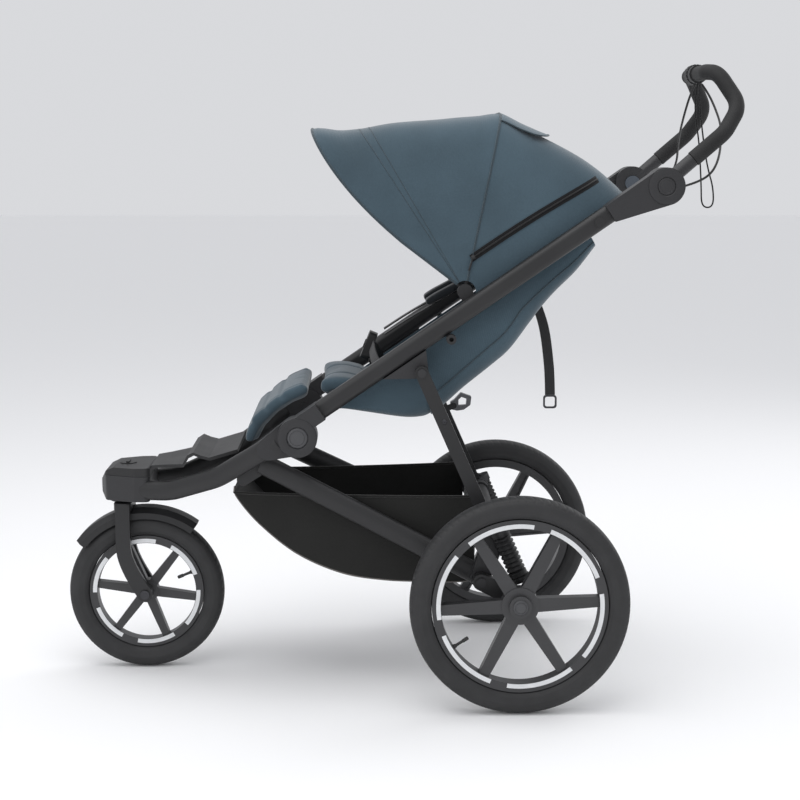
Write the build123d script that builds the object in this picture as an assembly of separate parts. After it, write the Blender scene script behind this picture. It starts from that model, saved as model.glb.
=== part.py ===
from build123d import *
import math
import os

os.makedirs("parts", exist_ok=True)

# A three-wheeled baby stroller that folds flat. +Z is up, the front wheel is towards -Y,
# the handlebar towards +Y and the child's left side towards +X. The origin is on the floor
# under the middle of the stroller. Lengths are in millimetres and angles in degrees.
# Points written with two numbers are (y, z) in a side view.

# ------------------------------------------------------------------ driving dimensions
REAR_AXLE = (225.0, 200.0)
REAR_WHEEL_RADIUS = 200.0
REAR_WHEEL_X = 310.0
REAR_TYRE_WIDTH = 47.0
REAR_RIM_RADIUS = 159.2
FRONT_AXLE = (-486.0, 152.5)
FRONT_WHEEL_RADIUS = 152.5
FRONT_TYRE_WIDTH = 45.0
FRONT_RIM_RADIUS = 112.0
SWIVEL_Y = -528.7
STEM_RADIUS = 13.0                  # the fork's upright pin
RUNNING = 0.08                      # radial clearance of a turning fit
GAP = 0.4                           # gap between pieces that move past each other

FRAME_ANGLE = 34.3                  # slope of the straight side tubes
FRAME_START = (-135.3, 541.2)       # front end of a side tube's axis
FRAME_LENGTH = 636.0
FRAME_INNER_X = 187.0
FRAME_OUTER_X = 217.0
FRAME_HEIGHT = 34.0
HINGE_RADIUS = 36.5
HINGE_CAP_RADIUS = 19.5
HUB_RADIUS = 34.0
JOINT_PIN_RADIUS = 8.0              # pins of the fold hinge and the handlebar hub
JOINT_SPLIT_X = 208.0               # between the inner and outer halves of the fold hinge
HOUSING_OUTER_X = 232.0

ARM_PIVOT = (158.0, 230.0)
CROSS_MEMBER = (185.0, 311.0)
LEG_X = (219.0, 241.0)
ARM_X = (245.0, 265.0)
BOOT_X = 255.0
FRONT_PIVOT = (-283.0, 402.0)
SEAT_HALF_WIDTH = 168.0
RECLINE_PIVOT = (58.0, 532.0)
BAR_RADIUS = 10.0
GRIP_RADIUS = 14.5
BAR_CENTRE = (583.0, 1158.0)        # straight middle of the handlebar


# ------------------------------------------------------------------ helpers
def on_frame(distance, offset=0.0):
    """A side-view point on the side tube's axis, or offset above it."""
    cos, sin = math.cos(math.radians(FRAME_ANGLE)), math.sin(math.radians(FRAME_ANGLE))
    return (
        FRAME_START[0] + distance * cos - offset * sin,
        FRAME_START[1] + distance * sin + offset * cos,
    )


def outline(points, radius=0.0):
    """A closed side-view outline, with its corners rounded."""
    face = make_face(Polyline(*points, close=True))
    return fillet(face.vertices(), radius) if radius else face


def across(face, x_low, x_high):
    """A side-view face given thickness across the stroller's width."""
    return extrude(Plane.YZ.offset(x_low) * face, amount=x_high - x_low)


def disc(centre, radius, x_low, x_high):
    """A cylinder across the width, about a side-view centre."""
    return across(Pos(*centre) * Circle(radius), x_low, x_high)


def link(first, first_radius, second, second_radius, x_low, x_high):
    """A link plate with round ends about two side-view centres."""
    ends = [Pos(*first) * Circle(first_radius), Pos(*second) * Circle(second_radius)]
    hull = make_hull([edge for end in ends for edge in end.edges()])
    return across(hull, x_low, x_high)


def spun(section, centre, start=0.0, arc=360.0):
    """Turn a section, drawn as (x, radius), about a cross axis through a centre."""
    axis = Axis((0, *centre), (1, 0, 0))
    return revolve(turned_plane(centre, start) * section, axis=axis, revolution_arc=arc)


def straight(start, end, section):
    """A section pushed from one point to another, its x kept level."""
    direction = Vector(*end) - Vector(*start)
    level = direction.cross(Vector(0, 0, 1)).normalized()
    plane = Plane(origin=start, x_dir=level, z_dir=direction.normalized())
    return extrude(plane * section, amount=direction.length)


def bent(points, radii, section):
    """A section swept along straight runs joined by arcs."""
    path = FilletPolyline(*points, radius=radii)
    tangent = path % 0
    level = tangent.cross(Vector(0, 0, 1) if abs(tangent.Z) < 0.9 else Vector(0, 1, 0))
    plane = Plane(origin=path @ 0, x_dir=level.normalized(), z_dir=tangent)
    return sweep(plane * section, path=path)


def arc_radii(points, share=0.45):
    """For each inner corner, the largest arc that its two runs leave room for."""
    radii = []
    for before, corner, after in zip(points, points[1:], points[2:]):
        run_in = Vector(*corner) - Vector(*before)
        run_out = Vector(*after) - Vector(*corner)
        half_turn = math.radians(run_in.get_angle(run_out)) / 2
        radii.append(share * min(run_in.length, run_out.length) / math.tan(half_turn))
    return radii


def hanging(points, section):
    """A soft cord or band along a route, its corners rounded as widely as they can be."""
    radii = arc_radii(points)
    print("bend radii", [round(radius) for radius in radii])
    return bent(points, radii, section)


def mirrored(part):
    """The same piece on the other side of the stroller."""
    return mirror(part, about=Plane.YZ)


def solids(*parts):
    """Several separate solids kept together as one node."""
    return Compound([solid for part in parts for solid in part.solids()])


def pair(part):
    """A piece and its mirror image as one node."""
    return solids(part, mirrored(part))


def ring(outer, inner):
    """A flat ring."""
    return Circle(outer) - Circle(inner)


def turned_plane(centre, angle):
    """A plane on a side-view centre, its normal turned back from +Z by an angle."""
    turn = math.radians(angle)
    return Plane(
        origin=(0, *centre), x_dir=(1, 0, 0), z_dir=(0, -math.sin(turn), math.cos(turn))
    )


nodes = {}

# ------------------------------------------------------------------ side tubes and fold hinge
HINGE = on_frame(-61.8, -15.8)
HUB = on_frame(746.1, -15.6)
LEG_PIVOT = on_frame(193.3, -44.6)
CANOPY_PIVOT = on_frame(340.8, 28.8)
FRAME_MIDDLE_X = (FRAME_INNER_X + FRAME_OUTER_X) / 2
FRAME_WIDTH = FRAME_OUTER_X - FRAME_INNER_X
FRAME_WALL = 2.0

frame_section = RectangleRounded(FRAME_WIDTH, FRAME_HEIGHT, 11) - RectangleRounded(
    FRAME_WIDTH - 2 * FRAME_WALL, FRAME_HEIGHT - 2 * FRAME_WALL, 11 - FRAME_WALL
)
side_tube = straight(
    (FRAME_MIDDLE_X, *on_frame(0)), (FRAME_MIDDLE_X, *on_frame(FRAME_LENGTH)), frame_section
)
SEAT_CROSS_TUBE = on_frame(30, 4)
CROSS_TUBE_RADIUS = 10.0
seat_cross_tube = disc(SEAT_CROSS_TUBE, CROSS_TUBE_RADIUS, -FRAME_INNER_X, FRAME_INNER_X)
top_cross_tube = disc(on_frame(612), CROSS_TUBE_RADIUS, -FRAME_INNER_X, FRAME_INNER_X)
nodes["upper_frame_tubes"] = solids(pair(side_tube), seat_cross_tube, top_cross_tube)


def neck(centre, radius, end):
    """The side outline that blends a round joint into the end of a side tube."""
    edge = Line(on_frame(end, HALF_TUBE), on_frame(end, -HALF_TUBE))
    return make_hull([*(Pos(*centre) * Circle(radius)).edges(), edge.edge()])


HALF_TUBE = FRAME_HEIGHT / 2
NECK_LENGTH = 60.0
hinge_neck = outline(
    [
        on_frame(-NECK_LENGTH, HALF_TUBE),
        on_frame(0, HALF_TUBE),
        on_frame(0, -HALF_TUBE),
        on_frame(-NECK_LENGTH, -HALF_TUBE),
    ]
)
hinge_side = Pos(*HINGE) * Circle(HINGE_RADIUS) + hinge_neck
hinge_housing = across(hinge_side, FRAME_INNER_X, HOUSING_OUTER_X)
hinge_housing -= disc(
    HINGE, HINGE_RADIUS + GAP, FRAME_INNER_X - 5, JOINT_SPLIT_X + GAP / 2
)
hinge_housing -= disc(HINGE, HINGE_CAP_RADIUS, HOUSING_OUTER_X - 2, HOUSING_OUTER_X + 5)
hinge_housing += disc(HINGE, JOINT_PIN_RADIUS, FRAME_INNER_X - 1, JOINT_SPLIT_X + 2)
nodes["hinge_housings"] = pair(hinge_housing)
hinge_cap = disc(HINGE, HINGE_CAP_RADIUS, HOUSING_OUTER_X - 2, HOUSING_OUTER_X + 1.5)
nodes["hinge_caps"] = pair(hinge_cap)

HUB_SPLIT_X = 202.0                 # between the two halves of the handlebar hub
HUB_OUTER_X = 226.0
hub_housing = across(neck(HUB, HUB_RADIUS, FRAME_LENGTH), FRAME_INNER_X, HUB_OUTER_X)
hub_housing -= disc(HUB, HUB_RADIUS + GAP, FRAME_INNER_X - 5, HUB_SPLIT_X + GAP / 2)
hub_housing += disc(HUB, JOINT_PIN_RADIUS, FRAME_INNER_X - 1, HUB_SPLIT_X + 2)
nodes["handle_hub_housings"] = pair(hub_housing)

# Brackets under the side tubes, each with the bolt that a leg hangs on.
LEG_BOLT_RADIUS = 5.0
bracket_edge = Line(on_frame(128, -HALF_TUBE), on_frame(222, -HALF_TUBE))
bracket = across(
    make_hull([*(Pos(*LEG_PIVOT) * Circle(13)).edges(), bracket_edge.edge()]),
    FRAME_INNER_X + 6,
    FRAME_OUTER_X - 1,
)
bracket += disc(LEG_PIVOT, LEG_BOLT_RADIUS, FRAME_OUTER_X - 2, LEG_X[1] + 1)
bracket += disc(LEG_PIVOT, 8, LEG_X[1] + GAP, LEG_X[1] + 4)
nodes["leg_brackets"] = pair(bracket)

# Accessory sockets under the tubes and the round buttons near the tubes' rear ends.
SOCKET_STATION = 271.4              # distance along the side tube
SOCKET = on_frame(SOCKET_STATION, -26.6)
SOCKET_X = (FRAME_INNER_X + 9, FRAME_OUTER_X + 4)
SOCKET_BORE_RADIUS = 4.0
SOCKET_BORE_LENGTH = 14.0
socket = disc(SOCKET, 9, *SOCKET_X)
socket += link(
    SOCKET, 7, on_frame(SOCKET_STATION, -HALF_TUBE - 6), 6, SOCKET_X[0] + 2, SOCKET_X[0] + 12
)
socket -= disc(SOCKET, SOCKET_BORE_RADIUS, SOCKET_X[1] - SOCKET_BORE_LENGTH, SOCKET_X[1])
tube_button = disc(on_frame(612, -2), 9.5, FRAME_OUTER_X, FRAME_OUTER_X + 2)
nodes["tube_fittings"] = solids(pair(socket), pair(tube_button))

# ------------------------------------------------------------------ front frame
FRONT_TUBE = [
    (54, -500, 364),
    (82, -428, 367),
    (136, -332, 403),
    (190, -248, 460),
    (197, -216, 482),
]
FRONT_TUBE_RADII = [130, 170, 60]
FRONT_HALF = (13.0, 19.0)           # half width and half height of the oval tube
front_oval = Ellipse(*FRONT_HALF)
front_tube_solid = bent(FRONT_TUBE, FRONT_TUBE_RADII, front_oval)
front_tube = bent(
    FRONT_TUBE, FRONT_TUBE_RADII, front_oval - Ellipse(FRONT_HALF[0] - 2, FRONT_HALF[1] - 2)
)
nodes["front_tubes"] = pair(front_tube)

FRONT_SOCKET = (-232.0, 469.0)      # where the disc's arm holds the front tube
hinge_inner = link(
    HINGE, HINGE_RADIUS, FRONT_SOCKET, 21, FRAME_INNER_X + 0.5, JOINT_SPLIT_X - GAP / 2
)
hinge_inner -= disc(HINGE, JOINT_PIN_RADIUS + RUNNING, FRAME_INNER_X - 2, JOINT_SPLIT_X + 2)
hinge_inner -= front_tube_solid
nodes["hinge_inner_discs"] = pair(max(hinge_inner.solids(), key=lambda solid: solid.volume))

head_side = outline(
    [(-567, 356), (-568, 380), (-556, 401), (-540, 408), (-468, 409), (-468, 343), (-556, 343)], 5
)
HEAD_HALF_PLAN = [(72, -468), (72, -500), (46, -556), (18, -568)]       # (x, y)
head_plan = outline(HEAD_HALF_PLAN + [(-x, y) for x, y in reversed(HEAD_HALF_PLAN)], 12)
steering_head = across(head_side, -72, 72) & extrude(Pos(0, 0, 330) * head_plan, amount=90)
steering_head += Pos(0, SWIVEL_Y, 339) * Cylinder(25, 10)
steering_head -= Pos(0, SWIVEL_Y, 352) * Cylinder(STEM_RADIUS + RUNNING, 52)
steering_head -= front_tube_solid
steering_head -= mirrored(front_tube_solid)
CAP_SPLIT_Z = 392.0                 # the head's cap lies on its body at this height
CAP_SEAM = 0.6
HALF_SPACE = 100.0
below_split = Pos(0, SWIVEL_Y, CAP_SPLIT_Z - HALF_SPACE) * Box(*3 * [2 * HALF_SPACE])
above_split = Pos(0, SWIVEL_Y, CAP_SPLIT_Z + CAP_SEAM + HALF_SPACE) * Box(*3 * [2 * HALF_SPACE])
DIAL_Y = -518.0                     # swivel lock, let into the top of the cap
DIAL_RADIUS = 16.0
steering_cap = steering_head & above_split
steering_cap -= Pos(0, DIAL_Y, 405) * Cylinder(DIAL_RADIUS + 0.3, 12)
nodes["steering_head"] = steering_head & below_split
nodes["steering_head_cap"] = steering_cap
swivel_lock = Pos(0, DIAL_Y, 404.9) * Cylinder(DIAL_RADIUS, 10)
nodes["swivel_lock_dial"] = swivel_lock + Pos(0, DIAL_Y, 411) * Box(26, 6, 4)

# The footrest is a shallow tray on the front tubes, with a raised heel stop.
TREAD = 6.0
tray_top = [
    (-466, 414), (-402, 422), (-392, 440), (-380, 447), (-366, 441), (-350, 437), (-296, 453)
]
tray_under = [(y + 1.5, z - TREAD) for y, z in reversed(tray_top)]
footrest = across(outline(tray_top + tray_under), -112, 112)
TRAY_HALF_PLAN = [(62, -480), (74, -440), (112, -380), (112, -290)]      # (x, y)
tray_plan = outline(TRAY_HALF_PLAN + [(-x, y) for x, y in reversed(TRAY_HALF_PLAN)], 8)
footrest &= extrude(Pos(0, 0, 380) * tray_plan, amount=100)
nodes["footrest"] = footrest

# ------------------------------------------------------------------ fork, fender and front wheel
BLADE_X = (29.0, 41.0)
FRONT_AXLE_RADIUS = 5.0
FENDER_RADIUS = 170.0
blade_front = Spline((-541, 252), (-531, 204), (-499, 144), tangents=[(0, -1), (0.6, -1)])
blade_rear = Spline((-474, 160), (-504, 214), (-513, 254), tangents=[(-0.6, 1), (0, 1)])
blade_face = make_face(
    [
        Line((-541, 331), (-541, 252)),
        blade_front,
        Line((-499, 144), (-474, 160)),
        blade_rear,
        Line((-513, 254), (-513, 331)),
        Line((-513, 331), (-541, 331)),
    ]
)
blade = across(blade_face, *BLADE_X) + disc(FRONT_AXLE, 15, *BLADE_X)
crown = Pos(0, -527, 326) * Box(2 * BLADE_X[1], 34, 15)
crown = fillet(crown.edges().filter_by(Axis.Z), 10)
stem = Pos(0, SWIVEL_Y, 351) * Cylinder(STEM_RADIUS, 48)
fork = crown + stem + blade + mirrored(blade)
fork -= disc(FRONT_AXLE, FENDER_RADIUS, -28.4, 28.4)
fork -= disc(FRONT_AXLE, FRONT_AXLE_RADIUS, -50, 50)
nodes["fork"] = fork
axle_nut = disc(FRONT_AXLE, 9, BLADE_X[1], BLADE_X[1] + 4)
nodes["front_axle"] = disc(FRONT_AXLE, FRONT_AXLE_RADIUS, -43, 43) + axle_nut + mirrored(axle_nut)


def fender_section(radius, half_width, wall, skirt):
    """The channel section of the fender, drawn as (x, radius)."""
    shoulder = 10.0
    outer = [(-half_width, radius - skirt), (-half_width, radius - shoulder),
             (shoulder - half_width, radius), (half_width - shoulder, radius),
             (half_width, radius - shoulder), (half_width, radius - skirt)]
    edge = half_width - wall
    flat = edge - shoulder + 1
    inner = [(edge, radius - skirt), (edge, radius - shoulder), (flat, radius - wall),
             (-flat, radius - wall), (-edge, radius - shoulder), (-edge, radius - skirt)]
    return outline(outer + inner)


nodes["fender"] = spun(fender_section(FENDER_RADIUS, 28, 2.5, 22), FRONT_AXLE, 53, 89.5)


def tyre_section(radius, rim, width):
    """A tyre that is open towards its rim, drawn as (x, radius)."""
    half = (radius - rim + 3.2) / 2
    middle = radius - half
    section = Pos(0, middle) * Ellipse(width / 2, half)
    section -= Pos(0, middle - 2) * Ellipse(width / 2 - 4.5, half - 4)
    return section - Pos(0, rim / 2) * Rectangle(2 * width, rim)


def spoked_rim(centre, rim, rim_inner, half_width, hub, bore, spoke, first_angle):
    """A six-spoked wheel about x = 0, each spoke hollowed on one side. hub is (radius,
    half width), and spoke is (half width at the hub, half width at the rim, half depth)."""
    hub_radius, hub_half = hub
    at_hub, at_rim, depth = spoke
    wheel = spun(Pos(0, (rim + rim_inner) / 2) * Rectangle(2 * half_width, rim - rim_inner), centre)
    flange = Pos(*centre) * ring(hub_radius, bore)
    boss = Pos(*centre) * ring(hub_radius * 0.6, bore)
    wheel += across(flange, -depth - 2, depth + 2)
    wheel += across(boss, -hub_half, hub_half)
    inset = 4.0
    for number in range(6):
        turn = Pos(*centre) * Rot(0, 0, first_angle + 60 * number)
        start, end = hub_radius * 0.7, rim_inner + 4
        arm = outline([(start, -at_hub), (end, -at_rim), (end, at_rim), (start, at_hub)])
        hollow_start, hollow_end = hub_radius + 3, rim_inner - 3
        hollow = outline([(hollow_start, inset - at_hub), (hollow_end, inset - at_rim),
                          (hollow_end, at_rim - inset), (hollow_start, at_hub - inset)])
        wheel += across(turn * arm, -depth, depth)
        wheel -= across(turn * hollow, -depth - 1, 4 - depth)
    return wheel


nodes["front_tyre"] = spun(
    tyre_section(FRONT_WHEEL_RADIUS, FRONT_RIM_RADIUS, FRONT_TYRE_WIDTH), FRONT_AXLE
)
nodes["front_rim"] = spoked_rim(
    FRONT_AXLE, FRONT_RIM_RADIUS, 97, 13, (23, 24), FRONT_AXLE_RADIUS + RUNNING, (9, 7, 9), 52
)

# ------------------------------------------------------------------ rear wheels
AXLE_RADIUS = 6.0
HUB_HALF = 21.0
rear_tyre = spun(tyre_section(REAR_WHEEL_RADIUS, REAR_RIM_RADIUS, REAR_TYRE_WIDTH), REAR_AXLE)
rear_rim = spoked_rim(
    REAR_AXLE, REAR_RIM_RADIUS, 143, 15, (34, HUB_HALF), AXLE_RADIUS + RUNNING, (13, 9.5, 10), 3
)
hub_cap = disc(REAR_AXLE, 13.8, HUB_HALF, HUB_HALF + 3.5)
rear_wheel_pieces = {"rear_tyre": rear_tyre, "rear_rim": rear_rim, "rear_hub_cap": hub_cap}
for name, piece in rear_wheel_pieces.items():
    nodes[f"{name}_right"] = mirrored(Pos(REAR_WHEEL_X, 0, 0) * piece)
    nodes[f"{name}_left"] = mirrored(nodes[f"{name}_right"])

# ------------------------------------------------------------------ rear frame and suspension
LEG_RADIUS = 12.25
LEG_FOOT = (176.0, 325.0)
leg = link(LEG_PIVOT, LEG_RADIUS, LEG_FOOT, LEG_RADIUS, *LEG_X)
leg -= disc(LEG_PIVOT, LEG_BOLT_RADIUS + RUNNING, LEG_X[0] - 1, LEG_X[1] + 1)
# The right leg carries the hook that holds the folded frame shut.
LATCH_PIVOT = (131.0, 487.0)
LATCH_X = (-237.0, -223.0)
LATCH_PIN_RADIUS = 3.0
right_leg = mirrored(leg) + link((112, 480), 6, LATCH_PIVOT, 6, LATCH_X[1] + GAP, -LEG_X[0])
right_leg += disc(LATCH_PIVOT, LATCH_PIN_RADIUS, LATCH_X[0], LATCH_X[1] + 1)
nodes["rear_legs"] = solids(leg, right_leg)

BOOT_TOP = (193.0, 320.0)
BOOT_BOTTOM = (228.0, 240.0)
BOOT_RADIUS = 17.5
BOOT_LENGTH = 86.0
boot_direction = Vector(0, BOOT_BOTTOM[0] - BOOT_TOP[0], BOOT_BOTTOM[1] - BOOT_TOP[1]).normalized()


def along_boot(point, first, last, radius, inner=0.0):
    """A cylinder on the boot's axis, between two distances from a side-view point."""
    start = Vector(BOOT_X, *point) + boot_direction * first
    plane = Plane(origin=start, x_dir=(1, 0, 0), z_dir=boot_direction)
    section = ring(radius, inner) if inner else Circle(radius)
    return extrude(plane * section, amount=last - first)


housing = link(CROSS_MEMBER, 21, ARM_PIVOT, 17, *LEG_X)
housing += disc(CROSS_MEMBER, 20, 190, LEG_X[0] + 2)
housing += along_boot(BOOT_TOP, -14, 0, 19)
housing += link((184, 327), 11, (192, 322), 8, LEG_X[1] - 2, BOOT_X)
housing -= leg
housing -= along_boot(BOOT_TOP, 0.2, 100, 19.5)
housing -= disc(ARM_PIVOT, AXLE_RADIUS, LEG_X[0] - 1, LEG_X[1] + 1)
pivot_bolt = disc(ARM_PIVOT, AXLE_RADIUS, 190, ARM_X[1] + 1)
pivot_bolt += disc(ARM_PIVOT, 9, ARM_X[1] + GAP, ARM_X[1] + 4)
nodes["suspension_housings"] = solids(pair(housing), pair(pivot_bolt))

PEDAL_PIVOT = (222.0, 300.0)
PEDAL_PIN_RADIUS = 4.0
ears = link(PEDAL_PIVOT, 12, CROSS_MEMBER, 14, 40, 46)
rear_cross_tube = disc(CROSS_MEMBER, 16, -190, 190) + ears + mirrored(ears)
rear_cross_tube += disc(PEDAL_PIVOT, PEDAL_PIN_RADIUS, -43, 43)
nodes["rear_cross_tube"] = rear_cross_tube

tread = across(outline([(226, 304), (262, 313), (264, 305), (230, 292)], 2), -30, 30)
pedal = disc(PEDAL_PIVOT, 12, -39, 39) + tread
nodes["brake_pedal"] = pedal - disc(PEDAL_PIVOT, PEDAL_PIN_RADIUS + RUNNING, -44, 44)

boot = along_boot(BOOT_TOP, GAP, BOOT_LENGTH, BOOT_RADIUS, 12)
nodes["suspension_boot_left"] = boot
nodes["suspension_boot_right"] = mirrored(boot)

swing_arm = link(ARM_PIVOT, 15, REAR_AXLE, 19, *ARM_X) + along_boot(BOOT_TOP, BOOT_LENGTH + 1, 97, 19)
swing_arm += disc(REAR_AXLE, 12, ARM_X[1] - 1, REAR_WHEEL_X - HUB_HALF - GAP)
swing_arm += disc(REAR_AXLE, AXLE_RADIUS, ARM_X[0], REAR_WHEEL_X + HUB_HALF - 2)
swing_arm -= disc(ARM_PIVOT, AXLE_RADIUS + RUNNING, ARM_X[0] - 1, ARM_X[1] + 1)
nodes["swing_arm_left"] = swing_arm
nodes["swing_arm_right"] = mirrored(swing_arm)

latch_side = outline([(125, 479), (124, 494), (132, 499), (146, 514), (168, 506),
                      (166, 488), (152, 478), (138, 476)], 3)
latch_side -= outline([(141, 487), (141, 499), (147, 505), (158, 501), (157, 488)], 1)
latch_side -= Pos(*LATCH_PIVOT) * Circle(LATCH_PIN_RADIUS + RUNNING)
nodes["fold_latch"] = across(latch_side, *LATCH_X)

# ------------------------------------------------------------------ lower tubes and basket
LOWER_REAR = (205.0, 152.0, 233.0)
LOWER_FRONT = (150.0, -248.0, 433.0)
LOWER_HALF = (11.5, 20.0)
ROD_HALF_LENGTH = 136.0             # cross rod that joins the two tubes at the front
lower_section = Ellipse(*LOWER_HALF) - Ellipse(LOWER_HALF[0] - 2, LOWER_HALF[1] - 2)
run = Vector(*LOWER_FRONT) - Vector(*LOWER_REAR)
tube_low = Vector(*LOWER_REAR) + run * 0.06
tube_high = Vector(*LOWER_REAR) + run * 0.97
lower_tube = straight(tuple(tube_low), tuple(tube_high), lower_section)
rear_end = straight(LOWER_REAR, tuple(tube_low), Ellipse(*LOWER_HALF))
rear_end += disc(ARM_PIVOT, 17, 195, 216)
rear_end -= disc(ARM_PIVOT, AXLE_RADIUS + RUNNING, 180, 230)
front_end = straight(tuple(tube_high), LOWER_FRONT, Ellipse(*LOWER_HALF))
front_end += link((-250, 424), 13, FRONT_PIVOT, 12, ROD_HALF_LENGTH, ROD_HALF_LENGTH + 15)
lower_rod = disc(FRONT_PIVOT, 6, -ROD_HALF_LENGTH, ROD_HALF_LENGTH)
nodes["lower_tubes"] = solids(pair(lower_tube), pair(rear_end), pair(front_end), lower_rod)

BASKET_WALL = 3.0
BASKET_FRONT_HALF = 130.0
BASKET_REAR_HALF = 183.0
BASKET_OUTSIDE = [
    (-302, 362), (-257, 303), (-184, 245), (-100, 209), (-20, 197), (60, 195), (150, 197)
]
BASKET_INSIDE = [
    (-298, 366), (-254, 306.5), (-182, 248.5), (-99, 212.2), (-20, 200.2), (60, 198.2), (147, 200.2)
]


def basket_profile(bottom, rim):
    """The side view between a curved bottom and a straight rim, front corner first."""
    front, rear = rim
    return make_face(
        [Line(front, bottom[0]), Spline(*bottom), Line(bottom[-1], rear), Line(rear, front)]
    )


def basket_plan(shrink):
    """The basket's plan outline, narrower towards the front."""
    front, rear = BASKET_FRONT_HALF - shrink, BASKET_REAR_HALF - shrink
    return Pos(0, 0, 180) * outline([(-front, -310), (front, -310), (rear, 162), (-rear, 162)])


def basket_block(bottom, rim, shrink):
    """The basket's side view and plan view, cut out of one block."""
    block = across(basket_profile(bottom, rim), -BASKET_REAR_HALF, BASKET_REAR_HALF)
    return block & extrude(basket_plan(shrink), amount=230)


nodes["basket"] = basket_block(BASKET_OUTSIDE, [(-305, 376), (158, 376)], 0) - basket_block(
    BASKET_INSIDE, [(-300, 380), (155, 380)], BASKET_WALL
)

# ------------------------------------------------------------------ seat
SLING = 12.0                        # thickness of the seat's fabric shell
seat_under = [(-104, 536), (-45, 527), (16, 516), (50, 516)]
nodes["seat_base"] = across(
    outline(seat_under + [(y, z + SLING) for y, z in reversed(seat_under)]),
    -SEAT_HALF_WIDTH,
    SEAT_HALF_WIDTH,
)
back_under = [
    (68, 524), (129, 577), (180, 618), (214, 646), (250, 696), (301, 758), (342, 792), (371, 836)
]
back_front = [(y - 9, z + 9) for y, z in reversed(back_under)]
HEM_RADIUS = 6.0                    # rod in the backrest's lower hem, which it turns about
backrest_shell = across(outline(back_under + back_front), -SEAT_HALF_WIDTH, SEAT_HALF_WIDTH)
backrest_shell += disc(RECLINE_PIVOT, HEM_RADIUS, -SEAT_HALF_WIDTH, SEAT_HALF_WIDTH)
nodes["backrest_shell"] = backrest_shell
pad_back = [
    (44, 536), (119, 588), (170, 629), (204, 657), (240, 707), (291, 769), (330, 804), (352, 840)
]
pad_front = [(y - 20, z + 20) for y, z in reversed(pad_back)]
PAD_HALF_WIDTH = 150.0
CALF_HALF_WIDTH = 140.0
nodes["backrest_pad"] = across(outline(pad_back + pad_front), -PAD_HALF_WIDTH, PAD_HALF_WIDTH)
seat_cushion = outline([(-146, 566), (-140, 590), (-96, 591), (-40, 578), (20, 564),
                        (22, 530), (-40, 541), (-92, 553)])
nodes["seat_pad"] = across(seat_cushion, -PAD_HALF_WIDTH, PAD_HALF_WIDTH) - disc(
    SEAT_CROSS_TUBE, CROSS_TUBE_RADIUS + GAP, -200, 200
)
calf_side = outline([(-284, 466), (-268, 512), (-230, 547), (-198, 568), (-168, 580), (-155, 574),
                     (-156, 560), (-190, 547), (-222, 526), (-250, 496), (-266, 462)])
nodes["calf_pad"] = across(calf_side, -CALF_HALF_WIDTH, CALF_HALF_WIDTH)
SIDE_X = (171.0, 175.0)
side_under = [(-104, 541), (-45, 527), (16, 516), (50, 516), (68, 523), (129, 576), (180, 617),
              (214, 645), (250, 695), (301, 757), (342, 791), (371, 834)]
side_top = [on_frame(596, -13), on_frame(20, -13)]
nodes["seat_sides"] = pair(across(outline(side_under + side_top), *SIDE_X))

# ------------------------------------------------------------------ harness
BUCKLE = (-39.0, 636.0)
BUCKLE_TILT = 68.0
buckle_plane = turned_plane(BUCKLE, BUCKLE_TILT)
buckle_body = extrude(buckle_plane * RectangleRounded(46, 54, 9), amount=16)
pocket = extrude(buckle_plane.offset(9) * Circle(9.5), amount=10)
nodes["harness_buckle"] = buckle_body - pocket
nodes["buckle_button"] = extrude(buckle_plane.offset(12) * Circle(9), amount=6)
nodes["crotch_strap"] = across(
    outline([(-31, 580), (-27, 580), (-44, 610), (-48, 610)]), -17, 17
)
STRAP_THICK = 3.0
strap_top = [(-16, 668), (62, 716), (120, 748), (200, 778), (270, 806)]
strap_low = [(y + 1, z - STRAP_THICK) for y, z in reversed(strap_top)]
strap = across(outline(strap_top + strap_low), 40, 65)
nodes["harness_straps"] = pair(strap)
pad_top = [(60, 731), (120, 764), (178, 786)]
pad_low = [(y + 3, z - 12) for y, z in reversed(pad_top)]
nodes["shoulder_pads"] = pair(across(outline(pad_top + pad_low), 30, 75))

STRAP_X = 58.0                      # to one side, so that the folded front wheel clears it
STRAP_LINE = [(272, 728), (284, 698), (292, 664), (297, 626), (301, 588), (302, 548.3)]
recline_strap = hanging([(STRAP_X, y, z) for y, z in STRAP_LINE], Rectangle(2.4, 19))
recline_strap -= backrest_shell
nodes["recline_strap"] = min(recline_strap.solids(), key=lambda solid: solid.center().Z)
D_RING = (302.0, 536.0)
ring_path = outline([(-13, -14), (13, -14), (13, 12), (-13, 12)], 6)
ring_hole = outline([(-9.5, -10.5), (9.5, -10.5), (9.5, 8.5), (-9.5, 8.5)], 4)
ring_plane = Plane(origin=(STRAP_X - 2, *D_RING), x_dir=(0, 1, 0), z_dir=(1, 0, 0))
nodes["strap_ring"] = extrude(ring_plane * (ring_path - ring_hole), amount=4)

# ------------------------------------------------------------------ canopy
# Each rib is (angle about the canopy pivot, height of the top above the pivot).
REAR_RIBS = [(32, 339), (45, 334), (60, 317), (77.5, 330)]
FRONT_RIBS = [(79, 329), (92, 317), (106, 323), (122, 350), (133.5, 410)]
CANOPY_HALF_WIDTH = 185.0
CANOPY_WALL = 4.0
CANOPY_BASE = 46.0
CANOPY_CORNER = 85.0


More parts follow.
